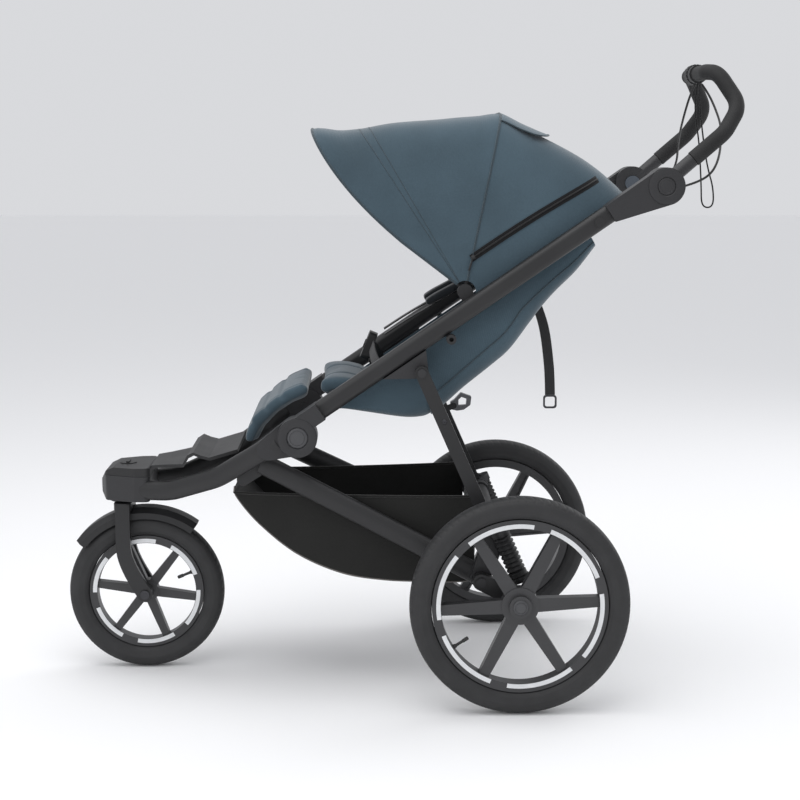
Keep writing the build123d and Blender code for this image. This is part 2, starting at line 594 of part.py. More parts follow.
def rib_section(angle, height):
    """An upturned U of canopy cloth in a plane through the pivot axis."""
    corner = CANOPY_CORNER
    edges = []
    for half, top, turn in (
        (CANOPY_HALF_WIDTH, height, corner),
        (CANOPY_HALF_WIDTH - CANOPY_WALL, height - CANOPY_WALL, corner - CANOPY_WALL),
    ):
        edges.append(
            [
                Line((-half, CANOPY_BASE), (-half, top - turn)),
                RadiusArc((-half, top - turn), (turn - half, top), turn),
                Line((turn - half, top), (half - turn, top)),
                RadiusArc((half - turn, top), (half, top - turn), turn),
                Line((half, top - turn), (half, CANOPY_BASE)),
            ]
        )
    inner_half = CANOPY_HALF_WIDTH - CANOPY_WALL
    feet = [
        Line((CANOPY_HALF_WIDTH, CANOPY_BASE), (inner_half, CANOPY_BASE)),
        Line((-inner_half, CANOPY_BASE), (-CANOPY_HALF_WIDTH, CANOPY_BASE)),
    ]
    return turned_plane(CANOPY_PIVOT, angle) * make_face([*edges[0], *edges[1], *feet])


def canopy_cover(ribs):
    """Cloth stretched straight between neighbouring ribs."""
    cover = None
    for first, second in zip(ribs, ribs[1:]):
        panel = loft([rib_section(*first).face(), rib_section(*second).face()], ruled=True)
        cover = panel if cover is None else cover + panel
    return cover


nodes["canopy_rear_cover"] = canopy_cover(REAR_RIBS)
nodes["canopy_front_cover"] = canopy_cover(FRONT_RIBS)


BOW_RADIUS = 4.0


def bow(angle, height, half_width, foot):
    """A round rod bent into a bow in a rib's plane."""
    plane = turned_plane(CANOPY_PIVOT, angle)
    corners = [(half_width, foot), (half_width, height), (-half_width, height), (-half_width, foot)]
    points = [plane.from_local_coords(Vector(x, y, 0)) for x, y in corners]
    return bent([tuple(point) for point in points], 80, Circle(BOW_RADIUS))


REAR_BOW_HALF = 175.0
FRONT_BOW_HALF = 166.0              # the front bow folds inside the rear one
EYE_X = (163.5, 168.5)
MOUNT_PIN_RADIUS = 5.0
MOUNT_X = (179.0, FRAME_INNER_X - GAP / 2)
mount = link(CANOPY_PIVOT, 14, on_frame(338, 4), 10, *MOUNT_X)
mount += disc(CANOPY_PIVOT, MOUNT_PIN_RADIUS, EYE_X[0] - 1, MOUNT_X[0] + 1)
rear_bow = bow(76, 312, REAR_BOW_HALF, 10)
rear_bow -= pair(disc(CANOPY_PIVOT, 9, REAR_BOW_HALF - 15, REAR_BOW_HALF + 15))
nodes["canopy_rear_bow"] = solids(rear_bow, pair(mount))
eye = disc(CANOPY_PIVOT, 9, *EYE_X)
eye -= disc(CANOPY_PIVOT, MOUNT_PIN_RADIUS + RUNNING, EYE_X[0] - 5, EYE_X[1] + 5)
front_bow = bow(131.5, 378, FRONT_BOW_HALF, 8)
front_bow -= pair(disc(CANOPY_PIVOT, 8.5, EYE_X[0] - 10, EYE_X[1] + 5))
nodes["canopy_front_bow"] = front_bow + eye + mirrored(eye)

# ------------------------------------------------------------------ handlebar
BAR_BEND = 45.0
BAR_SIDE = [
    (188, 508, 967), (188, 600, 1046), (163, 631, 1094), (126, 597, 1155), (88, *BAR_CENTRE)
]
bar_points = BAR_SIDE + [(-x, y, z) for x, y, z in reversed(BAR_SIDE)]
bar_radii = [BAR_BEND] * (len(bar_points) - 2)
handlebar = bent(bar_points, bar_radii, ring(BAR_RADIUS, BAR_RADIUS - 2))
HUB_DISC_X = (176.0, HUB_SPLIT_X - GAP / 2)
bar_hub = disc(HUB, HUB_RADIUS, *HUB_DISC_X)
SLEEVE_LENGTH = 46.0                # of bar between its lower end and the foam grip
bar_foot, bar_knee = Vector(*BAR_SIDE[0]), Vector(*BAR_SIDE[1])
sleeve_end = bar_foot + (bar_knee - bar_foot).normalized() * SLEEVE_LENGTH
bar_hub += straight((BAR_SIDE[0][0], HUB[0], HUB[1] + 2), tuple(sleeve_end), Circle(13))
bar_hub -= disc(HUB, JOINT_PIN_RADIUS + RUNNING, 150, 240)
bar_hub -= bent(bar_points, bar_radii, Circle(BAR_RADIUS))
BUTTON_RADIUS = 15.0
bar_hub -= disc(HUB, BUTTON_RADIUS + 0.3, HUB_DISC_X[0] - 1, HUB_DISC_X[0] + 8)
nodes["handlebar_tube"] = handlebar
nodes["handlebar_hubs"] = pair(max(bar_hub.solids(), key=lambda solid: solid.volume))
button = disc(HUB, BUTTON_RADIUS, HUB_DISC_X[0] - 3, HUB_DISC_X[0] + 4)
nodes["hub_button_left"] = button
nodes["hub_button_right"] = mirrored(button)

TWIST_X = (-40.0, -12.0)
COLLAR_X = (-11.5, 12.0)
grip_bar = bent(bar_points, bar_radii, ring(GRIP_RADIUS, BAR_RADIUS))
grip_bar -= disc(BAR_CENTRE, 2 * GRIP_RADIUS, TWIST_X[0] - 1, COLLAR_X[1] + 1)
foot_slope = math.degrees(math.atan2(bar_knee.Z - bar_foot.Z, bar_knee.Y - bar_foot.Y))
below_grip = Pos(0, bar_foot.Y, bar_foot.Z) * Rot(foot_slope, 0, 0) * Box(500, 2 * (SLEEVE_LENGTH + 1), 120)
nodes["grips"] = solids(grip_bar - below_grip)
twist_section = Circle(19.5)
for notch in range(16):
    twist_section -= Rot(0, 0, 22.5 * notch) * Pos(20.5, 0) * Circle(2)
twist_section -= Circle(BAR_RADIUS + RUNNING)
nodes["brake_twist_ring"] = across(Pos(*BAR_CENTRE) * twist_section, *TWIST_X)
collar = disc(BAR_CENTRE, 17.5, *COLLAR_X) - disc(BAR_CENTRE, BAR_RADIUS, -50, 50)
nodes["brake_collar"] = collar

CABLE_RADIUS = 2.2
CABLE_LEFT = [
    (6, 591, 1139), (10, 603, 1122), (28, 614, 1092), (66, 617, 1062), (112, 609, 1034),
    (152, 598, 1000), (180, 580, 972), (194, 552, 956), (199, 526, 949),
]
CABLE_RIGHT = [
    (-6, 580, 1139), (-9, 572, 1120), (-30, 566, 1086), (-72, 566, 1054), (-118, 570, 1024),
    (-156, 576, 994), (-182, 570, 968), (-195, 548, 954), (-199, 526, 947),
]
nodes["brake_cables"] = solids(
    *[hanging(route, Circle(CABLE_RADIUS)) for route in (CABLE_LEFT, CABLE_RIGHT)]
)

WRIST_CORD_RADIUS = 1.5
LOOP_ROUTE = [
    (30, 579, 1141), (28, 574, 1112), (31, 576, 1072), (28, 584, 1030), (31, 587, 985),
    (29, 590, 945), (31, 591, 906), (42, 612, 906), (44, 610, 944), (43, 600, 976),
    (46, 592, 1012), (43, 586, 1056), (45, 580, 1100), (43, 580, 1141),
]
nodes["wrist_strap"] = hanging(LOOP_ROUTE, Circle(WRIST_CORD_RADIUS))

for name, part in nodes.items():
    export_step(part, f"parts/{name}.step")
print(len(nodes), "nodes")
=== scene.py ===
# %% [markdown]
# # A folding three-wheeled baby stroller
# The engineering model is loaded first, as a fixed frame. Its tubes, hinges, wheels and
# brackets already have their true sizes. This lesson gives them real finishes, and makes the
# soft goods and fine parts around them: canopy, seat, pads, harness, basket, tyres and cords.
# The front wheel points to -Y, the handlebar to +Y, and one unit is a metre.

# %% Load the frame
import math
import bpy
from mathutils import Matrix, Vector


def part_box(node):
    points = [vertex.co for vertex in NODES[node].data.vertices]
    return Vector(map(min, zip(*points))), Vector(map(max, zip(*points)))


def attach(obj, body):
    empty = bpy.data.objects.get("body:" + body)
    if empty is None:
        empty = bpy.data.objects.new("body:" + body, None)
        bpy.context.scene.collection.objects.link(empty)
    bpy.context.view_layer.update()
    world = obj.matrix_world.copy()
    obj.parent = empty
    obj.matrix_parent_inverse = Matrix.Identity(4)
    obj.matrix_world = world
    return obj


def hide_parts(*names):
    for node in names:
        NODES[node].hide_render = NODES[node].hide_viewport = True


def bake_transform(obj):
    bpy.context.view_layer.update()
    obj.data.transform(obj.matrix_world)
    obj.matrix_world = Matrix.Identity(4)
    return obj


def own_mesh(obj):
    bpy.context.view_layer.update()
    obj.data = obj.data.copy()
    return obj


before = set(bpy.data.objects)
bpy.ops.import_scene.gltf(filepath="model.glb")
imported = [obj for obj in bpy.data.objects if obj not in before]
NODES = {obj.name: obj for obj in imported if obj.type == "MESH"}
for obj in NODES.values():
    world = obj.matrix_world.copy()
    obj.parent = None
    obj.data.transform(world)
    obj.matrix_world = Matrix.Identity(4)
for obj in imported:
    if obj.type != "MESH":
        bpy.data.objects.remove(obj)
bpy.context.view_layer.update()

MM = 0.001

# %% [markdown]
# The camera comes first, because it decides how large each detail looks. A long lens from the
# stroller's left side, at about chest height and aimed slightly down, keeps the wheels round.

# %% Camera
bpy.ops.object.select_all(action="DESELECT")
camera_data = bpy.data.cameras.new("camera")
camera_data.sensor_width = 36
camera_data.lens = 76.9
camera_data.clip_end = 30
camera = bpy.data.objects.new("camera", camera_data)
bpy.context.scene.collection.objects.link(camera)
camera.location = (3.311, -0.0492, 0.9995)
down, across = math.radians(8.06), math.radians(1.1)
look = Vector((-math.cos(across), math.sin(across), 0)) * math.cos(down) - Vector((0, 0, math.sin(down)))
camera.rotation_euler = look.to_track_quat("-Z", "Y").to_euler()
bpy.context.scene.camera = camera
print("lens", camera_data.lens, "camera at", tuple(round(v, 3) for v in camera.location))

# %% [markdown]
# A product studio is mostly big soft light. One wide area lamp overhead gives the tops of the
# tubes their pale edge, one on the camera's side fills the near faces, and a pale sky stands
# in for white walls. The floor is a plain pale sheet.

# %% Light and floor
def area_lamp(name, place, aim, size, watts):
    """A square soft lamp at a place, turned towards a point."""
    data = bpy.data.lights.new(name, "AREA")
    data.size = size
    data.energy = watts
    lamp = bpy.data.objects.new(name, data)
    bpy.context.scene.collection.objects.link(lamp)
    lamp.location = place
    lamp.rotation_euler = (Vector(aim) - Vector(place)).to_track_quat("-Z", "Y").to_euler()
    return lamp


area_lamp("lamp_top", (0.4, -0.3, 3.0), (0, 0, 0.5), 3.0, 46)
area_lamp("lamp_near", (3.6, -2.6, 2.2), (0, 0, 0.6), 2.4, 22)
area_lamp("lamp_rear", (-1.8, 2.8, 2.2), (0, 0, 0.8), 2.0, 20)

world = bpy.data.worlds.new("studio")
bpy.context.scene.world = world
world.use_nodes = True
sky = world.node_tree.nodes["Background"]
sky.inputs["Color"].default_value = (0.96, 0.97, 1.0, 1)
sky.inputs["Strength"].default_value = 0.72
bpy.context.scene.view_settings.view_transform = "Standard"

bpy.ops.mesh.primitive_plane_add(size=200)
floor = bpy.context.object
floor.name = "floor"
floor.location.z = -0.0008
paper = bpy.data.materials.new("paper_floor")
paper.use_nodes = True
paper.node_tree.nodes["Principled BSDF"].inputs["Base Color"].default_value = (0.96, 0.96, 0.965, 1)
paper.node_tree.nodes["Principled BSDF"].inputs["Roughness"].default_value = 0.8
floor.data.materials.append(paper)

# %% [markdown]
# Every finish starts from the same shader. This helper makes it, with numbers set straight on
# the sockets, and adds a fine noise that varies both the colour and the roughness a little,
# because no real surface is perfectly even.

# %% Base finish
def finish(name, colour, roughness, metallic=0.0, variation=0.12, patch=18.0, **sockets):
    """A material with slightly uneven colour. Returns (material, nodes, links, shader)."""
    material = bpy.data.materials.new(name)
    material.use_nodes = True
    nodes, links = material.node_tree.nodes, material.node_tree.links
    shader = nodes["Principled BSDF"]
    shader.inputs["Metallic"].default_value = metallic
    shader.inputs["Roughness"].default_value = roughness
    for socket, value in sockets.items():
        shader.inputs[socket.replace("_", " ")].default_value = value
    place = nodes.new("ShaderNodeTexCoord")
    noise = nodes.new("ShaderNodeTexNoise")
    noise.inputs["Scale"].default_value = patch
    noise.inputs["Detail"].default_value = 5
    links.new(place.outputs["Object"], noise.inputs["Vector"])
    ramp = nodes.new("ShaderNodeValToRGB")
    ramp.color_ramp.elements[0].position = 0.32
    ramp.color_ramp.elements[1].position = 0.68
    ramp.color_ramp.elements[0].color = (*[c * (1 - variation) for c in colour], 1)
    ramp.color_ramp.elements[1].color = (*[min(1, c * (1 + variation)) for c in colour], 1)
    links.new(noise.outputs["Fac"], ramp.inputs["Fac"])
    links.new(ramp.outputs["Color"], shader.inputs["Base Color"])
    return material, nodes, links, shader


def add_bump(nodes, links, shader, height, strength, distance):
    """Raise the surface by a height output. A second call adds to the first."""
    bump = nodes.new("ShaderNodeBump")
    bump.inputs["Strength"].default_value = strength
    bump.inputs["Distance"].default_value = distance
    links.new(height, bump.inputs["Height"])
    if shader.inputs["Normal"].is_linked:
        links.new(shader.inputs["Normal"].links[0].from_socket, bump.inputs["Normal"])
    links.new(bump.outputs["Normal"], shader.inputs["Normal"])


def grain(nodes, links, shader, scale, strength, distance, source="Object", detail=3):
    """A fine pebble or powder texture."""
    place = nodes.new("ShaderNodeTexCoord")
    noise = nodes.new("ShaderNodeTexNoise")
    noise.inputs["Scale"].default_value = scale
    noise.inputs["Detail"].default_value = detail
    links.new(place.outputs[source], noise.inputs["Vector"])
    add_bump(nodes, links, shader, noise.outputs["Fac"], strength, distance)
    return noise


def uneven_gloss(nodes, links, shader, low, high, scale):
    """Roughness that wanders between two values, as on handled surfaces."""
    place = nodes.new("ShaderNodeTexCoord")
    noise = nodes.new("ShaderNodeTexNoise")
    noise.inputs["Scale"].default_value = scale
    noise.inputs["Detail"].default_value = 6
    links.new(place.outputs["Object"], noise.inputs["Vector"])
    spread = nodes.new("ShaderNodeMapRange")
    spread.inputs["To Min"].default_value = low
    spread.inputs["To Max"].default_value = high
    links.new(noise.outputs["Fac"], spread.inputs["Value"])
    links.new(spread.outputs["Result"], shader.inputs["Roughness"])


print("helpers ready")

# %% [markdown]
# The frame is aluminium with a charcoal powder coat. Powder leaves a very fine orange peel and
# a satin sheen, so the coat gets a tight bump and its gloss wanders slightly.

# %% Powder-coated frame metals
def powder_coat(name, colour, low, high):
    """Charcoal powder coat with orange peel."""
    material, nodes, links, shader = finish(name, colour, low, 0.25, 0.08, 9)
    uneven_gloss(nodes, links, shader, low, high, 14)
    grain(nodes, links, shader, 900, 0.22, 0.0003)
    grain(nodes, links, shader, 140, 0.08, 0.0006)
    return material


frame_coat = powder_coat("frame_coat", (0.023, 0.023, 0.024), 0.36, 0.50)
leg_coat = powder_coat("leg_coat", (0.021, 0.021, 0.022), 0.38, 0.52)
fork_coat = powder_coat("fork_coat", (0.023, 0.023, 0.024), 0.34, 0.48)
bar_coat = powder_coat("bar_coat", (0.012, 0.012, 0.013), 0.18, 0.30)
axle_steel, nodes, links, shader = finish("axle_steel", (0.06, 0.06, 0.065), 0.32, 0.9, 0.1, 60)
uneven_gloss(nodes, links, shader, 0.24, 0.42, 90)
for name in ("upper_frame_tubes", "front_tubes", "lower_tubes"):
    NODES[name].data.materials.clear()
    NODES[name].data.materials.append(frame_coat)
for name in ("fork", "swing_arm_left", "swing_arm_right"):
    NODES[name].data.materials.clear()
    NODES[name].data.materials.append(fork_coat)
for name, material in (("rear_legs", leg_coat), ("handlebar_tube", bar_coat),
                       ("front_axle", axle_steel), ("strap_ring", axle_steel)):
    NODES[name].data.materials.clear()
    NODES[name].data.materials.append(material)
print("coated", frame_coat.name, leg_coat.name, fork_coat.name, bar_coat.name)

# %% [markdown]
# The joints are glass-filled nylon mouldings. Tooling for such parts is spark-eroded, which
# prints a fine pebble on the plastic. Darker and greyer mixes are used for trim and caps.

# %% Moulded plastics
def moulded(name, colour, low, high, pebble=420):
    """Spark-textured moulded plastic."""
    material, nodes, links, shader = finish(name, colour, low, 0.0, 0.07, 12)
    shader.inputs["Specular IOR Level"].default_value = 0.45
    uneven_gloss(nodes, links, shader, low, high, 22)
    grain(nodes, links, shader, pebble, 0.28, 0.0004)
    return material


housing_nylon = moulded("housing_nylon", (0.024, 0.024, 0.026), 0.40, 0.54)
trim_black = moulded("trim_black", (0.016, 0.016, 0.017), 0.46, 0.62)
cap_grey = moulded("cap_grey", (0.060, 0.061, 0.065), 0.34, 0.46, 300)
button_blue = moulded("button_blue", (0.070, 0.085, 0.105), 0.36, 0.48)
latch_grey = moulded("latch_grey", (0.16, 0.16, 0.17), 0.36, 0.5)
wheel_nylon = moulded("wheel_nylon", (0.040, 0.040, 0.042), 0.36, 0.48)
PLASTICS = {
    housing_nylon: ("hinge_housings", "handle_hub_housings", "hinge_inner_discs", "steering_head",
                    "suspension_housings", "leg_brackets", "handlebar_hubs"),
    trim_black: ("steering_head_cap", "footrest", "fender", "brake_pedal", "swivel_lock_dial",
                 "canopy_rear_bow", "canopy_front_bow", "tube_fittings", "harness_buckle",
                 "buckle_button", "brake_twist_ring", "brake_collar", "rear_cross_tube"),
    cap_grey: ("hinge_caps", "rear_hub_cap_left", "rear_hub_cap_right"),
    button_blue: ("hub_button_left", "hub_button_right"),
    latch_grey: ("fold_latch",),
    wheel_nylon: ("front_rim", "rear_rim_left", "rear_rim_right"),
}
for material, names in PLASTICS.items():
    for name in names:
        NODES[name].data.materials.clear()
        NODES[name].data.materials.append(material)
print("plastics", [m.name for m in PLASTICS])

# %% [markdown]
# The grips are closed-cell foam: matte, soft, and full of tiny bubbles. A small Voronoi
# pattern gives the bubbles, and a slower noise gives the wear where hands rest.

# %% Foam grips
grip_foam, nodes, links, shader = finish("grip_foam", (0.010, 0.010, 0.0105), 0.78, 0.0, 0.2, 26)
uneven_gloss(nodes, links, shader, 0.62, 0.86, 18)
bubbles = nodes.new("ShaderNodeTexVoronoi")
bubbles.inputs["Scale"].default_value = 480
place = nodes.new("ShaderNodeTexCoord")
links.new(place.outputs["Object"], bubbles.inputs["Vector"])
add_bump(nodes, links, shader, bubbles.outputs["Distance"], 0.45, 0.0004)
NODES["grips"].data.materials.clear()
NODES["grips"].data.materials.append(grip_foam)
print("grips in", grip_foam.name)

# %% [markdown]
# The engineering solids have knife-sharp edges, but moulded and cast parts never do. A Weld
# modifier joins their loose triangles and a narrow Bevel rounds only the sharp edges, so each
# one catches a thin line of light. The meshes themselves stay untouched.

# %% Soft edges on hard parts
def soften(node, width, angle=38):
    """A narrow round on a node's sharp edges."""
    piece = NODES[node]
    weld = piece.modifiers.new("weld", "WELD")
    weld.merge_threshold = 0.00001
    bevel = piece.modifiers.new("bevel", "BEVEL")
    bevel.width = width
    bevel.segments = 2
    bevel.limit_method = "ANGLE"
    bevel.angle_limit = math.radians(angle)
    bevel.use_clamp_overlap = True
    bevel.harden_normals = False


SOFT_EDGES = {
    "steering_head": 0.0022, "steering_head_cap": 0.0018, "hinge_housings": 0.0016,
    "handle_hub_housings": 0.0016, "handlebar_hubs": 0.0012, "rear_legs": 0.0022,
    "suspension_housings": 0.0012, "swing_arm_left": 0.0022, "swing_arm_right": 0.0022,
    "fork": 0.0022, "brake_pedal": 0.0012, "fold_latch": 0.0010, "harness_buckle": 0.0016,
    "footrest": 0.0012, "tube_fittings": 0.0008, "leg_brackets": 0.0010,
}
for name, width in SOFT_EDGES.items():
    soften(name, width)
print("softened", len(SOFT_EDGES), "nodes")

# %% [markdown]
# Many parts are turned: tyres, rubber boots, caps. They are made as on a lathe: a ring of
# vertices is placed on the part's section, then the Spin tool sweeps it round an axis and the
# start and end are merged into one closed skin.

# %% The lathe
def start_clean():
    """Leave object mode with nothing selected."""
    if bpy.context.object and bpy.context.object.mode != "OBJECT":
        bpy.ops.object.mode_set(mode="OBJECT")
    bpy.ops.object.select_all(action="DESELECT")


def tidy_skin(limit=0.00002):
    """In edit mode: merge doubles and point every face outwards."""
    bpy.ops.mesh.select_all(action="SELECT")
    bpy.ops.mesh.remove_doubles(threshold=limit)
    bpy.ops.mesh.normals_make_consistent(inside=False)


def turned(name, section, centre, axis, steps, smooth=35):
    """Spin a closed section of (distance along the axis, radius) pairs about an axis."""
    start_clean()
    bpy.ops.mesh.primitive_circle_add(vertices=len(section), radius=0.01)
    piece = bpy.context.object
    piece.name = name
    axis = Vector(axis).normalized()
    side = axis.orthogonal().normalized()
    for vertex, (along, radius) in zip(piece.data.vertices, section):
        vertex.co = Vector(centre) + axis * along + side * radius
    bpy.ops.object.mode_set(mode="EDIT")
    bpy.ops.mesh.select_all(action="SELECT")
    bpy.ops.mesh.spin(steps=steps, angle=math.tau, center=centre, axis=axis)
    tidy_skin()
    bpy.ops.object.mode_set(mode="OBJECT")
    bpy.ops.object.shade_smooth_by_angle(angle=math.radians(smooth))
    return piece


def dress(piece, material, body, slot, *replaced):
    """Give a piece its material and body, and hide what it stands for. The slot argument is not used."""
    piece.data.materials.clear()
    piece.data.materials.append(material)
    if body:
        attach(piece, body)
    if replaced:
        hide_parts(*replaced)
    print(piece.name, len(piece.data.polygons), "faces on", body or "two bodies")
    return piece


def gather(name, pieces):
    """Join several objects into one, at the origin."""
    start_clean()
    for piece in pieces:
        piece.select_set(True)
    bpy.context.view_layer.objects.active = pieces[0]
    if len(pieces) > 1:
        bpy.ops.object.join()
    bpy.ops.object.transform_apply(location=True, rotation=True, scale=True)
    bpy.context.object.name = name
    return bpy.context.object


# %% [markdown]
# A pneumatic tyre is rubber over a woven casing. Its sidewall carries fine raised rings, and
# its tread has shallow blocks. The rings are real steps in the section; the small blocks are
# cut by a bump that counts the angle round the axle, so the tread stays even all the way round.

# %% Tyre rubber
def tyre_rubber(name, centre, tread_radius, blocks):
    """Rubber whose tread pattern is laid out round a wheel's centre."""
    material, nodes, links, shader = finish(name, (0.020, 0.020, 0.021), 0.62, 0.0, 0.16, 24)
    uneven_gloss(nodes, links, shader, 0.50, 0.72, 30)
    place = nodes.new("ShaderNodeTexCoord")
    centred = nodes.new("ShaderNodeMapping")
    centred.vector_type = "POINT"
    centred.inputs["Location"].default_value = (-centre[0], -centre[1], -centre[2])
    links.new(place.outputs["Object"], centred.inputs["Vector"])
    split = nodes.new("ShaderNodeSeparateXYZ")
    links.new(centred.outputs["Vector"], split.inputs["Vector"])

    def math_node(operation, first, second=None):
        """A Math node on two inputs, each an output or a number."""
        node = nodes.new("ShaderNodeMath")
        node.operation = operation
        for socket, value in zip(node.inputs, (first, second)):
            if isinstance(value, (int, float)):
                socket.default_value = value
            elif value is not None:
                links.new(value, socket)
        return node.outputs["Value"]

    x, y, z = split.outputs
    angle = math_node("ARCTAN2", z, y)
    radius = math_node("SQRT", math_node("ADD", math_node("MULTIPLY", y, y), math_node("MULTIPLY", z, z)))
    slant = math_node("MULTIPLY", math_node("ABSOLUTE", x), 160.0)
    wave = math_node("SINE", math_node("ADD", math_node("MULTIPLY", angle, float(blocks)), slant))
    grooves = math_node("SMOOTH_MIN", math_node("ADD", wave, 0.55), 0.5)
    on_tread = math_node("GREATER_THAN", radius, tread_radius)
    add_bump(nodes, links, shader, math_node("MULTIPLY", grooves, on_tread), 0.9, 0.0009)
    rings = math_node("SINE", math_node("MULTIPLY", radius, 1900.0))
    on_sidewall = math_node("SUBTRACT", 1.0, on_tread)
    add_bump(nodes, links, shader, math_node("MULTIPLY", rings, on_sidewall), 0.10, 0.0003)
    grain(nodes, links, shader, 700, 0.25, 0.0003)
    return material


# %% [markdown]
# Each tyre is turned: its section is drawn once and spun about the axle. The tread blocks are a
# bump in the rubber, so the crown itself is smooth. The three tyres replace the plain solids.

# %% Tyres
def tyre_section(radius, rim, width):
    """A tyre's section: bead, sidewall with two raised rings, shoulder, crown and inner wall."""
    half, depth = width / 2, radius - rim
    share = [(0.50, 0.02), (0.62, 0.05), (0.70, 0.10), (0.79, 0.18), (0.845, 0.22), (0.855, 0.235),
             (0.86, 0.25), (0.93, 0.36), (0.975, 0.48), (0.985, 0.50), (0.99, 0.515), (0.985, 0.55),
             (0.965, 0.64), (0.92, 0.73), (0.84, 0.815), (0.80, 0.835), (0.78, 0.865), (0.64, 0.93),
             (0.46, 0.97), (0.25, 0.992), (0.0, 1.0)]
    near = [(x * half, rim + h * depth) for x, h in share]
    inner = [(0.0, radius - 0.005), (0.5 * half, radius - 0.0075), (0.78 * half, rim + 0.5 * depth),
             (0.60 * half, rim + 0.16 * depth), (0.42 * half, rim + 0.03 * depth)]
    far = [(-x, h) for x, h in reversed(near[:-1])]
    inner_far = [(-x, h) for x, h in inner[1:]]
    return near + far + list(reversed(inner_far)) + inner


WHEELS = {
    "front": dict(centre=(0, -0.486, 0.1525), radius=0.1525, rim=0.1121, width=0.0448,
                  body="front_wheel", first=52, spokes=(0.023, 0.097), face=0.013, blocks=62),
    "rear_left": dict(centre=(0.310, 0.225, 0.200), radius=0.200, rim=0.1593, width=0.0468,
                      body="rear_wheel_left", first=3, spokes=(0.034, 0.143), face=0.015, blocks=84),
    "rear_right": dict(centre=(-0.310, 0.225, 0.200), radius=0.200, rim=0.1593, width=0.0468,
                       body="rear_wheel_right", first=3, spokes=(0.034, 0.143), face=0.015, blocks=84),
}
TYRE_NODES = {"front": "front_tyre", "rear_left": "rear_tyre_left", "rear_right": "rear_tyre_right"}
for wheel, size in WHEELS.items():
    tyre = turned(f"tyre_{wheel}", tyre_section(size["radius"], size["rim"], size["width"]),
                  size["centre"], (1, 0, 0), 120, 60)
    rubber = tyre_rubber(f"rubber_{wheel}", size["centre"], size["radius"] - 0.0075, size["blocks"])
    dress(tyre, rubber, size["body"], "tyre", TYRE_NODES[wheel])

# %% [markdown]
# Between the spokes, the rim carries silver reflecting tape in short arcs. One strip is a thin
# plate spun through the gap between two spokes; five copies are turned round the axle.

# %% Reflecting tape
tape, nodes, links, shader = finish("reflecting_tape", (0.72, 0.73, 0.74), 0.30, 0.35, 0.05, 40)
prisms = nodes.new("ShaderNodeTexVoronoi")
prisms.inputs["Scale"].default_value = 620
place = nodes.new("ShaderNodeTexCoord")
links.new(place.outputs["Object"], prisms.inputs["Vector"])
add_bump(nodes, links, shader, prisms.outputs["Distance"], 0.35, 0.0003)


def turn_copy(piece, angle, centre):
    """A copy with its own mesh, turned about the wheel's axle."""
    copy = piece.copy()
    copy.data = piece.data.copy()
    bpy.context.scene.collection.objects.link(copy)
    turn = Matrix.Translation(centre) @ Matrix.Rotation(math.radians(angle), 4, "X")
    copy.data.transform(turn @ Matrix.Translation(-Vector(centre)))
    return copy


def reflector_arcs(wheel, size, x_face, half_angle):
    """Six strips of tape on the rim's outer face."""
    low, high = size["spokes"][1] + 0.0008, size["spokes"][1] + 0.0088
    centre = Vector(size["centre"])
    start_clean()
    bpy.ops.mesh.primitive_plane_add(size=0.01)
    strip = bpy.context.object
    outward = math.copysign(1, x_face) if x_face else 1
    corners = [(0, low), (0, high), (0.0006, high), (0.0006, low)]
    order = [strip.data.polygons[0].vertices[i] for i in range(4)]
    start = math.radians(size["first"] + 30 - half_angle)
    for index, (lift, radius) in zip(order, corners):
        strip.data.vertices[index].co = centre + Vector(
            (x_face + outward * lift, radius * math.cos(start), radius * math.sin(start)))
    bpy.ops.object.mode_set(mode="EDIT")
    bpy.ops.mesh.select_all(action="SELECT")
    bpy.ops.mesh.spin(steps=18, angle=math.radians(2 * half_angle), center=centre, axis=(1, 0, 0))
    tidy_skin(0.00001)
    bpy.ops.object.mode_set(mode="OBJECT")
    strips = [strip] + [turn_copy(strip, 60 * k, centre) for k in range(1, 6)]
    return gather(f"reflectors_{wheel}", strips)


for wheel, size in WHEELS.items():
    outward = -1 if wheel == "rear_right" else 1
    arcs = reflector_arcs(wheel, size, outward * size["face"], 21 if wheel == "front" else 24)
    dress(arcs, tape, size["body"], "axle_steel")

# %% [markdown]
# A valve stem points from each rim to the hub: a rubber base, a slim stem and a ribbed cap,
# turned in one piece about a line that runs along the wheel's radius.

# %% Valve stems
stem_rubber, nodes, links, shader = finish("stem_rubber", (0.018, 0.018, 0.018), 0.5)
grain(nodes, links, shader, 500, 0.2, 0.0003)
STEM = [(0.0, 0.0), (0.0, 0.0045), (0.004, 0.0042), (0.007, 0.0028), (0.020, 0.0026), (0.021, 0.0034),
        (0.023, 0.0036), (0.025, 0.0033), (0.027, 0.0036), (0.029, 0.0033), (0.031, 0.0034),
        (0.0325, 0.0022), (0.0325, 0.0)]
for wheel, size in WHEELS.items():
    angle = math.radians(size["first"] + (330 if wheel == "front" else 210))
    spoke_line = Vector((0, math.cos(angle), math.sin(angle)))
    foot = Vector(size["centre"]) + spoke_line * (size["spokes"][1] + 0.0005)
    stem = turned(f"valve_stem_{wheel}", STEM, foot, -spoke_line, 16)
    dress(stem, stem_rubber, size["body"], "tyre")

# %% [markdown]
# The hub caps and hinge caps are shallow domes with a turned ring near the edge. The shape is
# one section spun about the axle, so the ring is a true groove and not a drawn line.

# %% Round caps
def cap_section(radius, height):
    """A dome with a groove near its edge, from the axis out and back underneath."""
    return [(height, 0.0), (height * 0.98, radius * 0.35), (height * 0.93, radius * 0.62),
            (height * 0.90, radius * 0.66), (height * 0.70, radius * 0.69), (height * 0.70, radius * 0.73),
            (height * 0.90, radius * 0.76), (height * 0.84, radius * 0.86), (height * 0.55, radius * 0.96),
            (height * 0.15, radius), (-0.0006, radius), (-0.0006, 0.0)]


